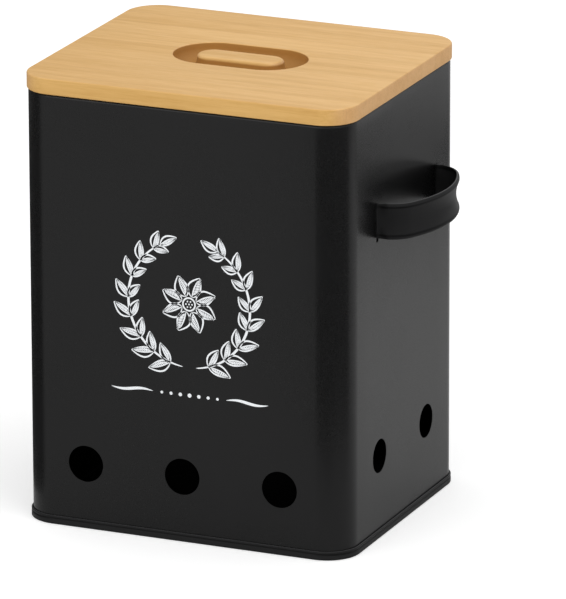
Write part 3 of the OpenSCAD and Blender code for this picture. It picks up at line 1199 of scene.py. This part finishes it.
@dataclass
class StrapHandle:
    """A strap of sheet: tabs through the wall, a dished section with rounded edges between.

    Args:
        can: shared sizes.
        side: which side it is on.
        behind: how far it lies behind the middle of the side.
        span: distance between its tab bends.
        rise: how far it stands out.
        height: of its middle line.
        strap: its height over the rounded edges.
        sheet: its thickness.
        roll: outside radius of the rounded edges.
        roll_turn: how far over they are turned, in degrees.
        dish: how far its middle is dished in.
        leg_lean: angle of its straight ends from square to the wall, in degrees.
        front_lean: angle at which the bend runs into the front curve, in degrees.
        bend: radius of the two bends.
        form: length over which the flat end swells into the section.
        tab_height: of a tab.
        tab_length: of a tab.
        tab_bend: radius of a tab's bend.
        edge: radius that the sheet's edges are broken by.
        roll_steps: steps round a rounded edge.
        web_steps: steps over the dished web.
        tab_steps: steps along a tab.
        tab_bend_steps: steps round its bend.
        leg_steps: steps along a straight end.
        bend_steps: steps round one of the two bends.
        curve_steps: steps along half the front curve.
    """

    can: CanSizes
    side: Side
    behind: float = 0.005
    span: float = 0.080
    rise: float = 0.024
    height: float = 0.171
    strap: float = 0.0192
    sheet: float = 0.0006
    roll: float = 0.0016
    roll_turn: float = 90.0
    dish: float = 0.0017
    leg_lean: float = 20.0
    front_lean: float = 62.0
    bend: float = 0.015
    form: float = 0.005
    tab_height: float = 0.0184
    tab_length: float = 0.009
    tab_bend: float = 0.0006
    edge: float = 0.00012
    roll_steps: int = 30
    web_steps: int = 18
    tab_steps: int = 5
    tab_bend_steps: int = 8
    leg_steps: int = 32
    bend_steps: int = 24
    curve_steps: int = 40

    def web(self) -> Tuple[float, float]:
        """Works out the arc that touches both rolls and sinks by the dish between them.

        Its radius is (roll's height ** 2 + roll's way out ** 2 - roll ** 2) / (2 * dish).

        Returns:
            The radius, and half the angle that it turns through, in degrees.
        """
        roll_z, roll_u = self.strap / 2 - self.roll, self.dish - self.roll
        radius = (roll_z ** 2 + roll_u ** 2 - self.roll ** 2) / (2 * self.dish)
        return radius, math.degrees(math.asin(roll_z / (radius + self.roll)))

    def formed_face(self, inset: float) -> Array:
        """One face of the formed section, from the lower to the upper roll, as (out, up).

        Two rolls of the roll's radius meet one hollow arc tangentially.

        Args:
            inset: 0 for the outer face, the thickness for the inner one.

        Returns:
            Array of points.
        """
        roll_z, roll_u = self.strap / 2 - self.roll, self.dish - self.roll
        web_r, lean = self.web()
        lower = arc((roll_u, -roll_z), self.roll - inset, -self.roll_turn, lean, self.roll_steps)
        web = arc((web_r, 0.0), web_r + inset, 180 + lean, 180 - lean, self.web_steps)[1:-1]
        upper = arc((roll_u, roll_z), self.roll - inset, -lean, self.roll_turn, self.roll_steps)
        return np.concatenate([lower, web, upper])

    def flat_face(self, inset: float) -> Array:
        """One face of the flat tab, its points spread as on the formed one.

        Args:
            inset: 0 for the outer face, the thickness for the inner one.

        Returns:
            Array of points.
        """
        web_r, lean = self.web()
        roll_run, web_run = self.roll * (self.roll_turn + lean), 2 * web_r * lean
        share = roll_run / (2 * roll_run + web_run)
        place = np.concatenate([np.linspace(0, share, self.roll_steps + 1),
                                np.linspace(share, 1 - share, self.web_steps + 1)[1:-1],
                                np.linspace(1 - share, 1, self.roll_steps + 1)])
        return np.stack([np.full(len(place), -inset), self.tab_height * (place - 0.5)], axis=1)

    def loop(self, outer: Array, inner: Array) -> Array:
        """Closes two faces into a section whose four long edges are broken.

        Each edge is cut back by the edge radius along both of its sides.

        Args:
            outer: outer face.
            inner: inner face, point for point behind it.

        Returns:
            Array of points, once round the section.
        """
        drawn = [np.concatenate([[moved(face[0], face[1], self.edge)], face[1:-1],
                                 [moved(face[-1], face[-2], self.edge)]]) for face in (outer, inner)]
        first, last = ([moved(outer[end], inner[end], self.edge), moved(inner[end], outer[end], self.edge)]
                       for end in (0, -1))
        return np.concatenate([drawn[0], last, drawn[1][::-1], first[::-1]])

    def path(self) -> Array:
        """Stations along the strap.

        A tab bend, a leg, a bend and half the front curve follow each other tangentially
        from the tab to the middle, and the far half mirrors them. The leg's length and
        the curve's radius solve: leg * its way + radius * the curve's reach = what is left.

        Returns:
            Rows of (out from the wall, along it, facing in degrees, share formed).
        """
        front = math.radians(self.front_lean)
        way = heading(self.leg_lean)
        inside = -self.can.sheet - self.can.gap
        start = np.array([inside, -self.span / 2]) + self.tab_bend * np.array([1 - way[1], way[0]])
        part = np.array([1 - math.sin(front), math.cos(front)])
        reach = np.array([self.rise - self.dish, 0.0]) - start - self.bend * np.array(
            [math.sin(front) - way[1], way[0] - math.cos(front)])
        leg = (reach[0] * part[1] - reach[1] * part[0]) / (way[0] * part[1] - way[1] * part[0])
        front_r = (reach[1] - leg * way[1]) / part[1]
        leg_face, front_face = self.leg_lean - 90, self.front_lean - 90
        aim = heading(leg_face)
        leg_end = start + leg * way

        def stretch(points: Array, first: float, last: float, formed: object) -> Array:
            """Returns the rows of a stretch whose facing turns evenly from first to last."""
            facing = np.linspace(first, last, len(points))
            return np.column_stack([points, facing, np.broadcast_to(formed, len(points))])

        tab = line((inside, -self.span / 2 - self.tab_length), (inside, -self.span / 2), self.tab_steps)
        bend_in = arc(start + self.tab_bend * aim, self.tab_bend, 180, 180 + leg_face, self.tab_bend_steps)
        run = np.linspace(0, leg, self.leg_steps + 1)[1:]
        share = np.clip((run - self.tab_bend) / self.form, 0, 1)
        share = share * share * (3 - 2 * share)
        bend_out = arc(leg_end - self.bend * aim, self.bend, leg_face, front_face, self.bend_steps)
        curve = arc((self.rise - self.dish - front_r, 0.0), front_r, front_face, 0, self.curve_steps)
        near = np.concatenate([
            stretch(tab, 0, 0, 0),
            stretch(bend_in, 0, leg_face, 0),
            stretch(start + run[:, None] * way, leg_face, leg_face, share),
            stretch(bend_out, leg_face, front_face, 1)[1:],
            stretch(curve, front_face, 0, 1)[1:]])
        return np.concatenate([near, near[-2::-1] * [1, -1, -1, 1]])

    def surface(self) -> Surface:
        """Sweeps the section along the path.

        A point lies at path + section's first number * facing, raised by its second,
        with the section a mix of the flat and the formed one by the share formed.

        Returns:
            The closed skin of the right handle.
        """
        outer, inner = self.formed_face(0.0), self.formed_face(self.sheet)
        formed = self.loop(outer, inner)
        flat = self.loop(self.flat_face(0.0), self.flat_face(self.sheet))
        path = self.path()
        share = path[:, 3, None, None]
        section = (1 - share) * flat + share * formed
        face = np.radians(path[:, 2, None])
        x = path[:, 0, None] + section[..., 0] * np.cos(face)
        y = path[:, 1, None] + section[..., 0] * np.sin(face)
        points = np.stack([x + self.can.width / 2, y + self.behind, section[..., 1] + self.height], axis=-1)
        skin = Surface.grid(points, close_columns=True)
        count = len(outer)
        number = np.arange(count - 1)
        last = (len(path) - 1) * len(formed)
        partner = 2 * count + 1 - number
        cap = np.concatenate([np.stack([number, number + 1, partner - 1, partner], axis=1),
                              [[count - 1, count, count + 1, count + 2],
                               [2 * count + 1, 2 * count + 2, 2 * count + 3, 0]]])
        return Surface(skin.points, np.concatenate([skin.quads[:, ::-1], cap, cap[:, ::-1] + last]))

    def make(self, coat: bpy.types.Material) -> bpy.types.Object:
        """Builds the handle, and stands it for its solid.

        Args:
            coat: the finish.

        Returns:
            The piece.
        """
        skin = self.surface()
        right = self.side is Side.RIGHT
        if not right:
            skin = skin.mirrored()
        piece = skin.build("strap_right" if right else "strap_left", coat, 50.0)
        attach(piece, Body.BIN.value)
        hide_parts((Node.HANDLE_RIGHT if right else Node.HANDLE_LEFT).value)
        return piece


# Lid


@dataclass
class BambooLid:
    """The lid: a board with eased edges, a plug below and an oval finger groove on top.

    Args:
        can: shared sizes.
        top: height of its upper face.
        board: its thickness.
        lip: thickness of the lip.
        over: how far the lip stands out past the wall.
        play: clearance between its plug and the rim.
        ease: radius of its eased edges.
        grip_length: over the groove.
        grip_width: over the groove.
        groove: width of the groove.
        groove_depth: its depth.
        groove_ease: radius of its eased outer edge.
        island: radius of the rounded edge of the island inside it.
        spine: half the length of the line that the island's top closes on.
        margin: how far inside the wall's plan the first ring of its top lies.
        plug_ease: radius of the fillet above the plug.
        ease_steps: steps round an eased edge of the lip.
        plug_steps: steps round the plug's eased edge.
        fillet_steps: steps round the fillet.
        island_steps: steps round the island's edge.
        bowl_steps: steps round the groove's bottom.
        rim_steps: steps round the groove's eased edge.
    """

    can: CanSizes
    top: float = 0.240
    board: float = 0.015
    lip: float = 0.0086
    over: float = 0.0008
    play: float = 0.001
    ease: float = 0.0009
    grip_length: float = 0.0725
    grip_width: float = 0.042
    groove: float = 0.0124
    groove_depth: float = 0.0086
    groove_ease: float = 0.0006
    island: float = 0.0022
    spine: float = 0.012
    margin: float = 0.010
    plug_ease: float = 0.0004
    ease_steps: int = 10
    plug_steps: int = 8
    fillet_steps: int = 4
    island_steps: int = 14
    bowl_steps: int = 40
    rim_steps: int = 6

    def oval(self) -> Tuple[Array, Array]:
        """Middle line of the groove, in step with the lid's plan.

        Half of it is a straight and a half circle, and the other half is the same
        turned about the middle.

        Returns:
            Arrays of (n, 2) points and (n, 2) outward normals.
        """
        radius = (self.grip_width - self.groove) / 2
        reach = (self.grip_length - self.groove) / 2 - radius
        plan = self.can.plan
        inner = plan.flat_steps - 1
        bow = arc((0, 0), 1, -90, 90, inner + 2 * plan.arc_steps + 1)
        straight = np.linspace(-reach, reach, inner + 2)[1:-1]
        front = np.column_stack([straight, np.full(inner, -radius)])
        half = np.concatenate([front, bow * radius + [reach, 0.0]])
        normal = np.concatenate([np.tile([0.0, -1.0], (inner, 1)), bow])
        return np.concatenate([half, -half]), np.concatenate([normal, -normal])

    def groove_rings(self) -> Array:
        """Section across the groove: the island's rounded edge, a round bottom and the eased edge.

        Returns:
            Array of points, as (out from the groove's middle line, up).
        """
        round_r = self.groove / 2
        low = round_r - self.groove_depth
        edge, island = self.groove_ease, self.island
        near = arc((-round_r - island, -island), island, 90, 0, self.island_steps)
        bowl = arc((0.0, low), round_r, 180, 360, self.bowl_steps)
        far = arc((round_r + edge, -edge), edge, 180, 90, self.rim_steps)
        return np.concatenate([near, bowl, far]) + [0.0, self.top]

    def surface(self) -> Surface:
        """Lofts closed rings from the island, over the groove and the edge, to the plug.

        All rings have the same number of points, in step round the lid, so one grid
        covers it. The first ring closes on a line, and the last one on a point.

        Returns:
            The closed skin.
        """
        groove_line, out = self.oval()
        plan, normal = self.can.plan.even()
        spine = groove_line * [1.0, 0.0]
        spine[:, 0] = np.clip(spine[:, 0], -self.spine, self.spine)
        ease, below, plug_ease = self.ease, self.top - self.lip, self.plug_ease
        plug_out = -2 * self.can.rim_radius - self.play
        rim_out = self.over - ease
        edge = np.concatenate([
            [(-self.margin, self.top), (0.6 * rim_out - 0.4 * self.margin, self.top)],
            arc((rim_out, self.top - ease), ease, 90, 0, self.ease_steps),
            arc((rim_out, below + ease), ease, 0, -90, self.ease_steps),
            [(plug_out + plug_ease, below)],
            arc((plug_out + plug_ease, below - plug_ease), plug_ease, 90, 180, self.fillet_steps),
            arc((plug_out - ease, self.top - self.board + ease), ease, 0, -90, self.plug_steps)])
        rings = [carry(spine, 0 * out, np.array([[0.0, self.top]])),
                 carry(groove_line, out, self.groove_rings()),
                 carry(plan, normal, edge),
                 carry(0 * plan, 0 * normal, np.array([[0.0, self.top - self.board]]))]
        skin = Surface.grid(np.concatenate(rings), close_columns=True)
        return Surface(skin.points, skin.quads[:, ::-1]).merged()

    def make(self, wood: bpy.types.Material) -> bpy.types.Object:
        """Builds the lid, and stands it for its solid.

        Args:
            wood: the finish.

        Returns:
            The piece.
        """
        piece = self.surface().build("bamboo_lid", wood, 35.0)
        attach(piece, Body.LID.value)
        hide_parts(Node.LID.value)
        return piece


# Print


@dataclass
class FrontDesign:
    """Plain wreath of leafy sprigs round a small flower, printed on the front.

    Args:
        can: shared sizes.
        middle: its middle on the front, as (x, height).
        radius: of the wreath.
        lift: thickness of the ink.
        pen: width of an ordinary stroke.
        point: width that a stroke keeps at its points.
        leaf_round: power that moves a leaf's widest place towards its stalk or tip.
        leaf_steps: steps along a leaf.
        leaf_bow: how far a leaf's rib bows out, as a share of its length.
        rib_end: where the rib's stroke ends, in those steps.
        hatched: steps that carry hatching: the first, the end and the pitch.
        hatch_reach: how far it reaches to the leaf's edge, as a share.
        hatch_rise: how far it runs up the leaf, as a share of its length.
        leaves: number of leaf pairs on each sprig.
        sweep: angles between which a sprig's stem runs, in degrees from the right.
        leaf_length: of the lowest leaf, and how much shorter the top one is.
        lean: angle of the outer and the inner leaf of a pair from the stem, in degrees.
        pair: their sizes, as shares.
        slim: width of a leaf, as a share of its length.
        tip: length and width of the leaf at a stem's end.
        petals: number of petals.
        petal: length and width of a petal.
        petal_start: distance from the flower's middle to a petal's.
        heart: radius of the ring in the flower.
        seeds: dots in it, besides the one in the middle.
        seed_ring: radius of the circle they stand on.
        seed: radius of a dot.
        footer_height: height of the row of dots.
        footer_pitch: distance between them.
        footer_dot: width of the middle one, and how much smaller each next one is.
        footer_line: distance from the middle to a line, and the line's length.
        footer_pen: greatest width of a line.
        footer_swing: how far a line swings up and down.
        strokes: the ribbons drawn so far.
    """

    can: CanSizes
    middle: Tuple[float, float] = (0.0045, 0.1285)
    radius: float = 0.034
    lift: float = 0.00003
    pen: float = 0.00085
    point: float = 0.00006
    leaf_round: float = 0.8
    leaf_steps: int = 24
    leaf_bow: float = 0.06
    rib_end: int = 20
    hatched: Tuple[int, int, int] = (3, 20, 2)
    hatch_reach: float = 0.86
    hatch_rise: float = 0.16
    leaves: int = 8
    sweep: Tuple[float, float] = (-84.0, 62.0)
    leaf_length: Tuple[float, float] = (0.0135, 0.0035)
    lean: Tuple[float, float] = (38.0, -42.0)
    pair: Tuple[float, float] = (1.0, 0.86)
    slim: float = 0.42
    tip: Tuple[float, float] = (0.0105, 0.0044)
    petals: int = 8
    petal: Tuple[float, float] = (0.0118, 0.0072)
    petal_start: float = 0.0042
    heart: float = 0.0034
    seeds: int = 6
    seed_ring: float = 0.0017
    seed: float = 0.00022
    footer_height: float = 0.0795
    footer_pitch: float = 0.0052
    footer_dot: Tuple[float, float] = (0.0011, 0.00012)
    footer_line: Tuple[float, float] = (0.0205, 0.0235)
    footer_pen: float = 0.0015
    footer_swing: float = 0.0007
    strokes: List[Surface] = field(default_factory=list)

    def stroke(self, points: Array, width: Array) -> None:
        """Adds a ribbon: each point moved half the width to both sides along its normal.

        Args:
            points: (n, 2) points on the front.
            width: (n,) widths.
        """
        along = np.gradient(points, axis=0)
        along /= np.maximum(np.linalg.norm(along, axis=1, keepdims=True), 1e-9)
        side = np.stack([-along[:, 1], along[:, 0]], axis=1) * width[:, None] / 2
        flat = np.stack([points - side, points + side])
        depth = np.full(flat.shape[:2] + (1,), -self.can.depth / 2 - self.lift)
        self.strokes.append(Surface.grid(np.concatenate([flat[..., :1], depth, flat[..., 1:]], axis=-1)))

    def tapered(self, points: Array, width: float, sharp: float = 0.6) -> None:
        """Adds a stroke that is full in the middle and pointed at both ends.

        Args:
            points: its middle line.
            width: its greatest width.
            sharp: how fast it swells from its points.
        """
        share = np.linspace(0, 1, len(points))
        self.stroke(points, width * np.maximum(np.sin(np.pi * share), 0.0) ** sharp + self.point)

    def leaf(self, base: Array, angle: float, length: float, width: float) -> None:
        """Adds a leaf: two bowed sides, a rib, and hatching between the rib and one side.

        A side lies at distance width / 2 * sin(pi * share ** its power) from the rib, the
        share running from 0 at the stalk to 1 at the tip.

        Args:
            base: where it leaves the stem.
            angle: which way it points, in degrees.
            length: of the leaf.
            width: of the leaf.
        """
        way = heading(angle)
        side = np.array([-way[1], way[0]])
        share = np.linspace(0, 1, self.leaf_steps + 1)
        bow = width / 2 * np.sin(np.pi * share ** self.leaf_round)
        rib = base + length * share[:, None] * way
        rib = rib + self.leaf_bow * length * np.sin(np.pi * share)[:, None] * side
        for sign in (-1, 1):
            self.tapered(rib + sign * bow[:, None] * side, self.pen, 0.35)
        self.tapered(rib[:self.rib_end + 1], self.pen * 0.8, 0.4)
        across = np.linspace(0.12, 1.0, 6)[:, None] * side
        rise = np.linspace(0.0, self.hatch_rise, 6)[:, None] * length * way
        for step in range(*self.hatched):
            hatch = rib[step] - self.hatch_reach * bow[step] * across + rise
            self.tapered(hatch, self.pen * 0.75, 0.5)

    def sprig(self, sign: float) -> None:
        """Adds one half of the wreath: a curved stem with pairs of leaves and a tip leaf.

        Args:
            sign: 1 for the right half, -1 for the left.
        """
        turn = np.radians(np.linspace(*self.sweep, 60))
        stem = np.stack([sign * np.cos(turn), np.sin(turn)], axis=1) * self.radius + self.middle
        self.tapered(stem, self.pen * 1.5, 0.3)
        for k in range(self.leaves):
            share = (k + 0.7) / self.leaves
            at = int(share * (len(turn) - 1))
            length = self.leaf_length[0] - self.leaf_length[1] * share
            for lean, size in zip(self.lean, self.pair):
                angle = math.degrees(turn[at]) + 90 - lean
                self.leaf(stem[at], angle if sign > 0 else 180 - angle, length * size,
                          length * size * self.slim)
        angle = math.degrees(turn[-1]) + 90
        self.leaf(stem[-1], angle if sign > 0 else 180 - angle, *self.tip)

    def ring(self, middle: Array, radius: float, width: float) -> None:
        """Adds a ring.

        Args:
            middle: its middle.
            radius: its radius.
            width: width of its line.
        """
        circle = arc(middle, radius, 0, 360, 40)
        self.stroke(circle, np.full(len(circle), width))

    def flower(self) -> None:
        """Adds the flower in the middle: petals all round, and a dotted heart."""
        middle = np.array(self.middle)
        for angle in np.arange(self.petals) * 360 / self.petals + 180 / self.petals:
            self.leaf(middle + self.petal_start * heading(angle), angle, *self.petal)
        self.ring(middle, self.heart, self.pen)
        for angle in np.arange(self.seeds) * 360 / self.seeds:
            self.ring(middle + self.seed_ring * heading(angle), self.seed, 2 * self.seed)
        self.ring(middle, self.seed, 2 * self.seed)

    def footer(self) -> None:
        """Adds a row of dots between two tapered lines under the wreath."""
        centre = self.middle[0]
        for k in range(-3, 4):
            size = self.footer_dot[0] - self.footer_dot[1] * abs(k)
            self.ring(np.array([centre + self.footer_pitch * k, self.footer_height]), size / 2, size)
        run = np.linspace(0, 1, 30)
        height = self.footer_height + self.footer_swing * np.sin(2 * np.pi * run)
        for sign in (-1, 1):
            x = centre + sign * (self.footer_line[0] + self.footer_line[1] * run)
            self.tapered(np.stack([x, height], axis=1), self.footer_pen, 0.7)

    def make(self, ink: bpy.types.Material) -> bpy.types.Object:
        """Draws the design as one film of ink.

        Args:
            ink: the finish.

        Returns:
            The piece.
        """
        self.sprig(1.0)
        self.sprig(-1.0)
        self.flower()
        self.footer()
        piece = Surface.join(self.strokes).build("front_print", ink)
        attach(piece, Body.BIN.value)
        return piece


# Studio


@dataclass(frozen=True)
class SoftBox:
    """A square area lamp aimed at a point.

    Args:
        name: its name.
        place: where it hangs.
        aim: where it points.
        size: length of its side.
        power: in watts.
    """

    name: str
    place: Tuple[float, float, float]
    aim: Tuple[float, float, float]
    size: float
    power: float

    def make(self) -> bpy.types.Object:
        """Hangs the lamp, its back turned from the point it is aimed at.

        Returns:
            The lamp.
        """
        lamp = bpy.data.lights.new(self.name, "AREA")
        lamp.size = self.size
        lamp.energy = self.power
        lamp_object = bpy.data.objects.new(self.name, lamp)
        way = Vector(self.place) - Vector(self.aim)
        lamp_object.location = self.place
        lamp_object.rotation_euler = way.to_track_quat("Z", "Y").to_euler()
        bpy.context.scene.collection.objects.link(lamp_object)
        return lamp_object


@dataclass(frozen=True)
class Flag:
    """An upright dark card, seen in reflections only, which keeps them dark on one side.

    Args:
        name: its name.
        start: one end of its foot, as (x, y).
        end: the other end.
        height: of the card.
        tone: how light it is, 0 for black.
    """

    name: str
    start: Tuple[float, float]
    end: Tuple[float, float]
    height: float
    tone: float = 0.0

    def make(self) -> bpy.types.Object:
        """Stands the card on the floor, where only reflections see it.

        Returns:
            The card.
        """
        foot = np.array([[*self.start, 0.0], [*self.end, 0.0]])
        tree = NodeTree(self.name)
        tree.set(Base_Color=(self.tone, self.tone, self.tone), Roughness=1.0, Specular_IOR_Level=0.0)
        card = Surface.grid(np.stack([foot, foot + [0.0, 0.0, self.height]])).build(self.name, tree.material)
        card.visible_camera = False
        card.visible_diffuse = False
        card.visible_shadow = False
        return card


@dataclass
class Studio:
    """Pale floor, soft lamps, dark cards, white background and the camera.

    Args:
        yaw: how far the camera stands to the right of straight ahead, in degrees.
        pitch: how far it looks down, in degrees.
        roll: its roll, in degrees.
        distance: from the point it turns about.
        turn_about: that point.
        focal: focal length in pixels.
        principal: where its axis meets the image, in pixels.
        image: width and height of the image in pixels.
        world: strength of the plain light from all round.
        floor: colour of the floor.
        lift: light that the floor adds where it is seen, so that it meets the background.
        lamps: the soft boxes.
        flags: the dark cards.
        sensor: width of the camera's sensor in millimetres.
        far: distance up to which the camera sees.
        floor_rings: radii of the floor's rings, the last one its middle.
        floor_drop: how far the floor lies below the bin, so that the two never touch.
    """

    yaw: float = 23.39
    pitch: float = 17.19
    roll: float = -0.18
    distance: float = 4.02708
    turn_about: Tuple[float, float, float] = (0.01807, 0.0, 0.11425)
    focal: float = 7745.79
    principal: Tuple[float, float] = (273.5, 292.8)
    image: Tuple[float, float] = (566.0, 599.0)
    world: float = 0.72
    floor: Colour = (0.86, 0.86, 0.86)
    lift: float = 0.38
    lamps: Tuple[SoftBox, ...] = (
        SoftBox("key", (0.9, -0.5, 1.9), (0.0, 0.0, 0.12), 1.2, 9.5),
        SoftBox("front", (-0.5, -2.3, 1.3), (0.0, 0.0, 0.12), 1.6, 12.0),
    )
    flags: Tuple[Flag, ...] = (
        Flag("left_flag", (-0.126, -0.11), (-0.18, 0.80), 0.40, 0.28),
        Flag("front_flag", (0.017, -0.258), (0.258, -0.17), 0.25, 0.52),
        Flag("corner_flag", (0.258, -0.17), (0.278, -0.018), 0.25, 0.50),
        Flag("side_flag", (0.534, 0.384), (0.15, 0.672), 0.045),
    )
    sensor: float = 36.0
    far: float = 50.0
    floor_rings: Tuple[float, ...] = (6.0, 1.0, 0.0)
    floor_drop: float = 0.0002

    def camera(self) -> bpy.types.Object:
        """Stands the camera at the photograph's angle, back along its axis from its turning point.

        Returns:
            The camera.
        """
        yaw, pitch, roll = (math.radians(angle) for angle in (self.yaw, self.pitch, self.roll))
        back = Vector((math.sin(yaw) * math.cos(pitch), -math.cos(yaw) * math.cos(pitch), math.sin(pitch)))
        right = (-back).cross(Vector((0, 0, 1))).normalized()
        up = right.cross(-back)
        right, up = (math.cos(roll) * right + math.sin(roll) * up,
                     math.cos(roll) * up - math.sin(roll) * right)
        data = bpy.data.cameras.new("camera")
        long_side = max(self.image)
        data.sensor_width = self.sensor
        data.lens = self.focal * self.sensor / long_side
        data.shift_x = (self.image[0] / 2 - self.principal[0]) / long_side
        data.shift_y = (self.principal[1] - self.image[1] / 2) / long_side
        data.clip_end = self.far
        camera = bpy.data.objects.new("camera", data)
        turn = Matrix((right, up, back)).transposed().to_4x4()
        camera.matrix_world = Matrix.Translation(Vector(self.turn_about) + self.distance * back) @ turn
        bpy.context.scene.collection.objects.link(camera)
        bpy.context.scene.camera = camera
        return camera

    def seen_directly(self, tree: bpy.types.NodeTree, mirrored: bool) -> bpy.types.NodeSocket:
        """Adds the share of rays that see the background itself.

        Args:
            tree: the node tree to add it to.
            mirrored: whether rays that see it in a reflection count too.

        Returns:
            The share's socket.
        """
        path = tree.nodes.new("ShaderNodeLightPath")
        share = path.outputs["Is Camera Ray"]
        for name in ("Is Glossy Ray", "Is Transmission Ray") if mirrored else ():
            add = tree.nodes.new("ShaderNodeMath")
            add.operation = "MAXIMUM"
            tree.links.new(share, add.inputs[0])
            tree.links.new(path.outputs[name], add.inputs[1])
            share = add.outputs[0]
        return share

    def background(self) -> None:
        """Makes the world: white where it is seen, a plain soft light elsewhere."""
        world = bpy.data.worlds.new("studio")
        bpy.context.scene.world = world
        world.use_nodes = True
        tree = world.node_tree
        shade = tree.nodes["Background"]
        shade.inputs["Color"].default_value = (1.0, 1.0, 1.0, 1.0)
        strength = tree.nodes.new("ShaderNodeMapRange")
        strength.inputs["To Min"].default_value = self.world
        strength.inputs["To Max"].default_value = 1.0
        tree.links.new(self.seen_directly(tree, True), strength.inputs["Value"])
        tree.links.new(strength.outputs["Result"], shade.inputs["Strength"])

    def ground(self) -> bpy.types.Object:
        """Lays the floor, a round sheet of rings.

        Returns:
            The floor.
        """
        ring = arc((0.0, 0.0), 1.0, 0, 360, 64)[:-1]
        section = np.array([[radius, -self.floor_drop] for radius in self.floor_rings])
        disc = Surface.grid(carry(0 * ring, ring, section), close_columns=True).merged()
        tree = NodeTree("floor")
        share = self.seen_directly(tree.tree, False)
        tree.set(Base_Color=self.floor, Roughness=0.9, Specular_IOR_Level=0.1,
                 Emission_Color=(1.0, 1.0, 1.0), Emission_Strength=tree.math("MULTIPLY", share, self.lift))
        piece = disc.build("floor", tree.material)
        return piece

    def make(self) -> None:
        """Sets up the whole studio."""
        self.camera()
        self.background()
        self.ground()
        for stand in self.lamps + self.flags:
            stand.make()
        bpy.context.scene.view_settings.view_transform = "Standard"


# Main


def main() -> None:
    """Builds the studio and the bin piece by piece, and logs each one."""
    logging.basicConfig(level=logging.INFO, format="%(message)s")
    Studio().make()
    can = CanSizes()
    coat = PowderCoat("can_powder_coat").material()
    # painted light: the seam and the straps get lighter copies of the black coat, which brighten them where
    # little light reaches
    base_coat_painted_light = PowderCoat("base_powder_coat_painted_light", base=(0.015, 0.015, 0.0153), rubbed=(0.020, 0.020, 0.0205),
                           roughness=0.42, gloss=0.09, painted_highlight_share=1.0, shade_folds=(0.0002, 0.0030)).material()
    # painted shade: the lining is darker than the outside coat so that the inside stays black through the
    # vents
    lining_painted_shade = PowderCoat("inside_lacquer_painted_shade", base=(0.002, 0.002, 0.002), rubbed=(0.003, 0.003, 0.003),
                        roughness=0.65, gloss=0.02).material()
    strap_coat_painted_light = PowderCoat("strap_powder_coat_painted_light", base=(0.0145, 0.0145, 0.0148),
                            rubbed=(0.019, 0.019, 0.0195), roughness=0.40, gloss=0.04, painted_highlight_share=1.0,
                            shade_folds=(0.1636, 0.1786)).material()
    bamboo = Bamboo("bamboo_wood").material()
    ink = ChalkInk("chalk_ink").material()
    makers: List[Tuple[Callable[..., bpy.types.Object], Tuple[bpy.types.Material, ...]]] = [
        (CanWall(can).make, (coat, lining_painted_shade)),
        (LockSeam(can).make, (lining_painted_shade,)),
        (BasePan(can).make, (base_coat_painted_light, lining_painted_shade)),
        (StrapHandle(can, Side.RIGHT).make, (strap_coat_painted_light,)),
        (StrapHandle(can, Side.LEFT).make, (strap_coat_painted_light,)),
        (BambooLid(can).make, (bamboo,)),
        (FrontDesign(can).make, (ink,)),
    ]
    for make, finishes in makers:
        piece = make(*finishes)
        named = ", ".join(finish.name for finish in finishes)
        LOG.info("built %s: %d faces, %s", piece.name, len(piece.data.polygons), named)


if __name__ == "__main__":
    main()
